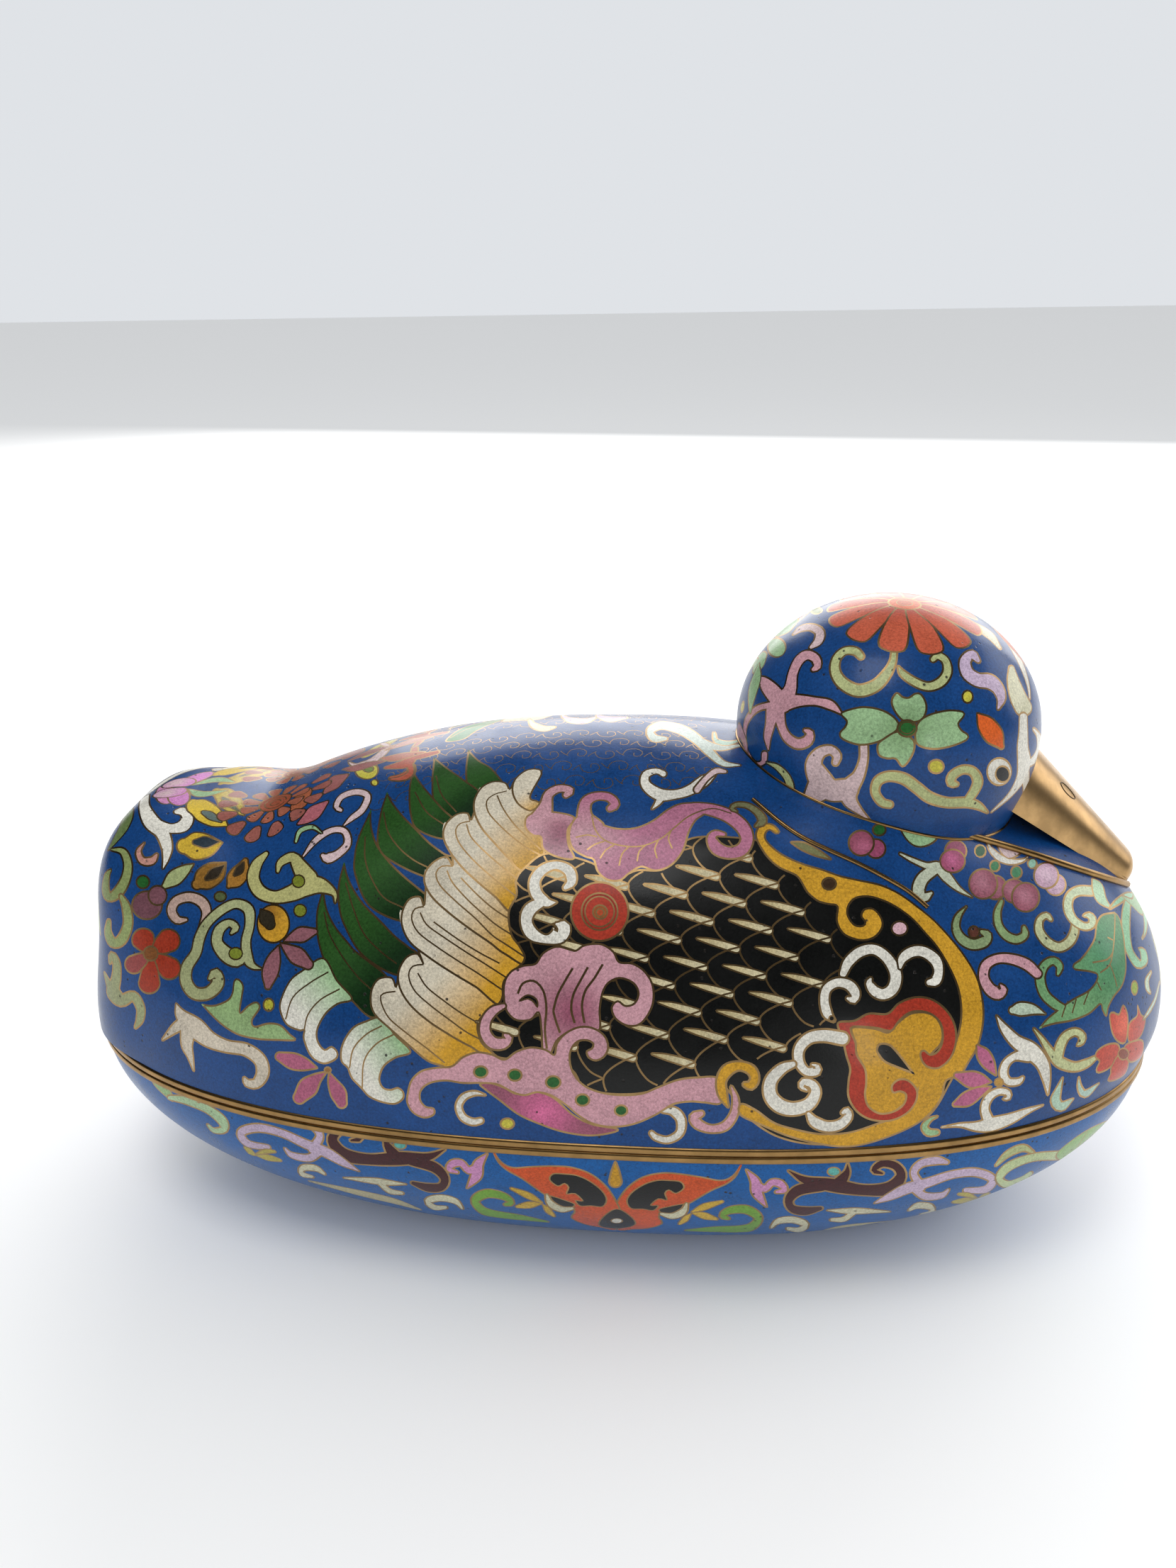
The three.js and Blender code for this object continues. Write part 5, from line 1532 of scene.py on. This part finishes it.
def make_lining(name, node_name, is_outer):
    """The inside of a shell, from a copy of its solid without the faces that the enamel pieces stand for."""
    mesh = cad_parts[node_name].data.copy()
    piece = bpy.data.objects.new(name, mesh)
    bpy.context.scene.collection.objects.link(piece)
    mesh.materials.clear()
    mesh.materials.append(LINING)
    bpy.context.view_layer.objects.active = piece
    piece.select_set(True)
    bpy.ops.object.mode_set(mode="EDIT")
    bpy.ops.mesh.select_all(action="SELECT")
    bpy.ops.mesh.remove_doubles(threshold=1e-6)
    bpy.ops.mesh.select_all(action="DESELECT")
    bpy.ops.object.mode_set(mode="OBJECT")
    places = np.array([v.co for v in mesh.vertices]) / MM
    outer = is_outer(places)
    for face in mesh.polygons:
        face.select = all(outer[i] for i in face.vertices)
    bpy.ops.object.mode_set(mode="EDIT")
    bpy.ops.mesh.delete(type="FACE")
    bpy.ops.object.mode_set(mode="OBJECT")
    bpy.ops.object.shade_smooth_by_angle(angle=math.radians(40))
    piece.select_set(False)
    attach(piece, "root")
    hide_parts(node_name)
    return piece


def oval_point(turn, offset, height):
    c, s = math.cos(turn), math.sin(turn)
    size = (abs(c) ** OVAL_POWER + abs(s) ** OVAL_POWER) ** (1 / OVAL_POWER)
    x = (HALF_LENGTH + offset) * c / size
    y = (HALF_WIDTH + offset) * s / size
    return Vector((CENTRE_X + x, y * (1 + OVAL_EGG * x / HALF_LENGTH), height)) * MM


BAND_STEPS = 300
BAND_ROUNDING = 0.55
LIP_ROUNDING = 0.25
LIP_ROOT = 0.3  # how far the lip reaches down into its band
BANDS_APART = 0.02


def oval_band(name, offset, bottom, height, wall, round_edge):
    """A band round the oval: a circle drawn out to it, extruded up, given its wall and rounded edges."""
    bpy.ops.mesh.primitive_circle_add(vertices=BAND_STEPS, radius=1)
    band = bpy.context.object
    band.name = name
    for k, vertex in enumerate(band.data.vertices):
        vertex.co = oval_point(2 * math.pi * k / BAND_STEPS, offset, bottom)
    bpy.ops.object.mode_set(mode="EDIT")
    bpy.ops.mesh.select_all(action="SELECT")
    bpy.ops.mesh.extrude_region_move(TRANSFORM_OT_translate={"value": (0, 0, height * MM)})
    bpy.ops.mesh.select_all(action="SELECT")
    bpy.ops.mesh.normals_make_consistent(inside=False)
    bpy.ops.object.mode_set(mode="OBJECT")
    shell = band.modifiers.new("wall", "SOLIDIFY")
    shell.thickness = wall * MM
    shell.offset = -1
    edges = band.modifiers.new("edges", "BEVEL")
    edges.width = round_edge * MM
    edges.segments = 4
    for modifier in ("wall", "edges"):
        bpy.ops.object.modifier_apply(modifier=modifier)
    bpy.ops.object.shade_smooth_by_angle(angle=math.radians(50))
    band.select_set(False)
    return band


def join(pieces, name):
    bpy.ops.object.select_all(action="DESELECT")
    for piece in pieces:
        piece.select_set(True)
    bpy.context.view_layer.objects.active = pieces[0]
    bpy.ops.object.join()
    pieces[0].name = name
    pieces[0].select_set(False)
    return pieces[0]


def make_bands():
    wall = BAND_PROUD + SHELL_WALL
    lid_foot = RIM_HEIGHT + BANDS_APART
    lid_band = oval_band("lid_band", BAND_PROUD, lid_foot, BAND_HEIGHT - BANDS_APART, wall, BAND_ROUNDING)
    bowl_wall = wall - LIP_OFFSET - SHELL_WALL + LIP_WALL
    bowl_band = oval_band("bowl_band", BAND_PROUD, BOWL_TOP, BAND_HEIGHT, bowl_wall, BAND_ROUNDING)
    lip_foot = RIM_HEIGHT - LIP_ROOT
    lip = oval_band("lip", LIP_OFFSET, lip_foot, LIP_HEIGHT + LIP_ROOT, LIP_WALL, LIP_ROUNDING)
    bowl_band = join([bowl_band, lip], "base_band_with_lip")
    for band, node_name in ((lid_band, "lid_rim"), (bowl_band, "base_rim")):
        band.data.materials.append(BAND_BRASS)
        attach(band, "root")
        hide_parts(node_name)


OUTSIDE_LID = 0.25
OUTSIDE_BOWL = 0.3
STANDING = 0.01


def make_linings():
    def lid_outside(p):
        torso, head = torso_field(p), head_field(p)
        nearest = np.minimum(np.abs(torso), np.abs(head))
        return (nearest < OUTSIDE_LID) & (np.minimum(torso, head) > -OUTSIDE_LID)

    def bowl_outside(p):
        return (np.abs(bowl_field(p)) < OUTSIDE_BOWL) | (p[:, 2] < STANDING)

    make_lining("lid_lining", "lid", lid_outside)
    make_lining("base_lining", "base", bowl_outside)


def make_stage():
    bpy.ops.mesh.primitive_plane_add(size=16)
    floor = bpy.context.object
    floor.name = "floor"
    material, _, shader = new_material("pale_floor")
    shader.inputs["Base Color"].default_value = (0.93, 0.92, 0.90, 1)
    shader.inputs["Roughness"].default_value = 0.9
    floor.data.materials.append(material)
    floor.select_set(False)
    world = bpy.data.worlds.new("studio")
    bpy.context.scene.world = world
    world.use_nodes = True
    world.cycles_visibility.glossy = False
    tree = world.node_tree
    sky = tree.nodes["Background"]
    sky.inputs["Color"].default_value = (0.93, 0.96, 1.0, 1)
    sky.inputs["Strength"].default_value = 0.8
    for name, place, width, height, power in (
        ("window_behind", (0.25, 1.15, 0.52), 1.7, 0.8, 17.0),
        ("window_right", (1.00, 0.35, 0.45), 0.6, 0.6, 3.0),
        ("window_front", (0.50, -1.08, 0.22), 0.10, 0.34, 0.7),
        ("lamp_above", (-0.15, -0.35, 1.20), 0.5, 0.5, 3.5),
    ):
        light = bpy.data.lights.new(name, "AREA")
        light.shape = "RECTANGLE"
        light.size = width
        light.size_y = height
        light.energy = power
        lamp = bpy.data.objects.new(name, light)
        bpy.context.scene.collection.objects.link(lamp)
        lamp.visible_camera = False
        aim = Vector((0, 0, 0.06)) - Vector(place)
        lamp.matrix_world = Matrix.Translation(place) @ aim.to_track_quat("-Z", "Y").to_matrix().to_4x4()
    bpy.context.scene.view_settings.view_transform = "Standard"


BEAK_ROOT = np.array([CENTRE_X + 0.694 * HALF_LENGTH, 0, RIM_HEIGHT + 0.851 * BACK_RISE])
BEAK_TIP = np.array([CENTRE_X + 0.959 * HALF_LENGTH, 0, RIM_HEIGHT + 0.504 * BACK_RISE])
BEAK_WIDTHS = (12.2, 5.0)
BEAK_FLARE = 0.5
BEAK_HEIGHTS = (10.0, 3.2)
BEAK_DEPTHS = (18.5, 3.6)
TOP_SQUARENESS = 2.5
CHIN_SQUARENESS = 5.0
BEAK_END = 2.5  # the length over which its tip is rounded
BEAK_ROUNDING = 2.3
BEAK_SUNK = 0.4  # how deep its root starts inside the head
BEAK_RINGS = 44
BEAK_SIDES = 72


def beak_place(turn, share):
    """A place on the beak: turn goes round it, share runs from its root to its tip."""
    run = BEAK_TIP - BEAK_ROOT
    length = np.linalg.norm(run)
    run = run / length
    upward = np.array([-run[2], 0, run[0]])
    left = (1 - share) * length
    u = np.clip(1 - left / BEAK_END, 0, 1)
    inset = BEAK_ROUNDING * (1 - np.sqrt(1 - u * u))
    c, s = np.cos(turn), np.sin(turn)
    power = np.where(s > 0, TOP_SQUARENESS, CHIN_SQUARENESS)
    size = (np.abs(c) ** power + np.abs(s) ** power) ** (1 / power)
    width = BEAK_WIDTHS[0] + (BEAK_WIDTHS[1] - BEAK_WIDTHS[0]) * share - inset
    width *= 1 + BEAK_FLARE * (0.5 - 0.5 * s / size)
    root = np.where(s > 0, BEAK_HEIGHTS[0], BEAK_DEPTHS[0])
    tip = np.where(s > 0, BEAK_HEIGHTS[1], BEAK_DEPTHS[1])
    height = root + (tip - root) * share - inset
    middle = BEAK_ROOT + (share * length)[:, None] * run
    sideways = (width * c / size)[:, None] * np.array([0, 1, 0])
    return middle + sideways + (height * s / size)[:, None] * upward


def beak_start(turn):
    """Where the beak leaves the head, as a share of its length."""
    start = np.zeros(len(turn))
    for share in np.linspace(0, 0.9, 180):
        p = beak_place(turn, np.full(len(turn), share))
        start = np.where(np.minimum(head_field(p), torso_field(p)) < -BEAK_SUNK, share, start)
    return start


def finish_piece(piece, material, slot, *nodes):
    piece.data.materials.clear()
    piece.data.materials.append(material)
    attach(piece, "root")
    if nodes:
        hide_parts(*nodes)
    piece.select_set(False)


def make_beak():
    """A globe drawn out into the beak, its rings running from the head to the tip."""
    bpy.ops.mesh.primitive_uv_sphere_add(segments=BEAK_SIDES, ring_count=BEAK_RINGS, radius=1)
    beak = bpy.context.object
    beak.name = "beak_brass"
    globe = np.array([v.co for v in beak.data.vertices])
    ring = np.round(np.arccos(np.clip(globe[:, 2], -1, 1)) / math.pi * BEAK_RINGS)
    turn = np.arctan2(globe[:, 1], globe[:, 0])
    start = beak_start(turn)
    along = np.clip((ring - 1) / (BEAK_RINGS - 2), 0, 1) ** 0.8
    share = start + (1 - start) * along
    places = beak_place(turn, share)
    for end, beside in ((0, 1), (BEAK_RINGS, BEAK_RINGS - 1)):
        places[ring == end] = places[ring == beside].mean(0)
    for vertex, place in zip(beak.data.vertices, places):
        vertex.co = place * MM
    bpy.ops.object.mode_set(mode="EDIT")
    bpy.ops.mesh.select_all(action="SELECT")
    bpy.ops.mesh.normals_make_consistent(inside=False)
    bpy.ops.object.mode_set(mode="OBJECT")
    bpy.ops.object.shade_smooth_by_angle(angle=math.radians(60))
    finish_piece(beak, BEAK_BRASS, "beak_brass", "beak")


def make_wire(name, points, radius, material, slot, closed=False):
    """A wire of round section along points."""
    curve = bpy.data.curves.new(name, "CURVE")
    curve.dimensions = "3D"
    curve.bevel_depth = radius * MM
    curve.bevel_resolution = 2
    curve.use_fill_caps = True
    spline = curve.splines.new("POLY")
    spline.points.add(len(points) - 1)
    spline.points.foreach_set("co", np.column_stack([points * MM, np.ones(len(points))]).ravel())
    spline.use_cyclic_u = closed
    wire = bpy.data.objects.new(name, curve)
    bpy.context.scene.collection.objects.link(wire)
    bpy.ops.object.select_all(action="DESELECT")
    bpy.context.view_layer.objects.active = wire
    wire.select_set(True)
    bpy.ops.object.convert(target="MESH")
    wire = bpy.context.object
    wire.data.shade_smooth()
    finish_piece(wire, material, slot)
    return wire


def raised_wire(name, points, radius):
    """A wire laid along places of the photograph, on the lid."""
    line = cast(*sight_lines("photo", smooth(points, step=6)), torso_field)
    line = line[np.abs(torso_field(line)) < ON_SURFACE]
    for _ in range(4):
        line[1:-1] = (line[:-2] + line[1:-1] * 2 + line[2:]) / 4
    line += outward(torso_field, line) * (0.3 * radius - torso_field(line)[:, None])
    for side, turn in (("right", 1), ("left", -1)):
        make_wire(f"{name}_{side}", line * (1, turn, 1), radius, BAND_BRASS, "brass")


def make_seams():
    use_sheet(0, 0, 1)
    chin = [(1271, 1146), (1300, 1156), (1360, 1177), (1437, 1200), (1510, 1224), (1570, 1243), (1588, 1248)]
    raised_wire("chin_seam", chin, 0.75)
    shoulder = [(1062, 1128), (1100, 1160), (1131, 1181), (1170, 1200), (1212, 1219), (1250, 1239),
        (1282, 1258), (1308, 1280)]
    raised_wire("shoulder_seam", shoulder, 0.42)
    make_wire("neck_seam", neck_line(), 0.34, BAND_BRASS, "brass", closed=True)
    loop = np.linspace(0, 2 * math.pi, 28, endpoint=False)
    for name, side in (("nostril_left", 1), ("nostril_right", -1)):
        turn = math.pi / 2 + side * (0.62 + 0.10 * np.sin(loop))
        ring = beak_place(turn, 0.34 + 0.065 * np.cos(loop))
        make_wire(name, ring, 0.12, DARK_BRASS, "beak_brass", closed=True)


make_enamel()
make_linings()
make_bands()
make_beak()
make_seams()
make_stage()
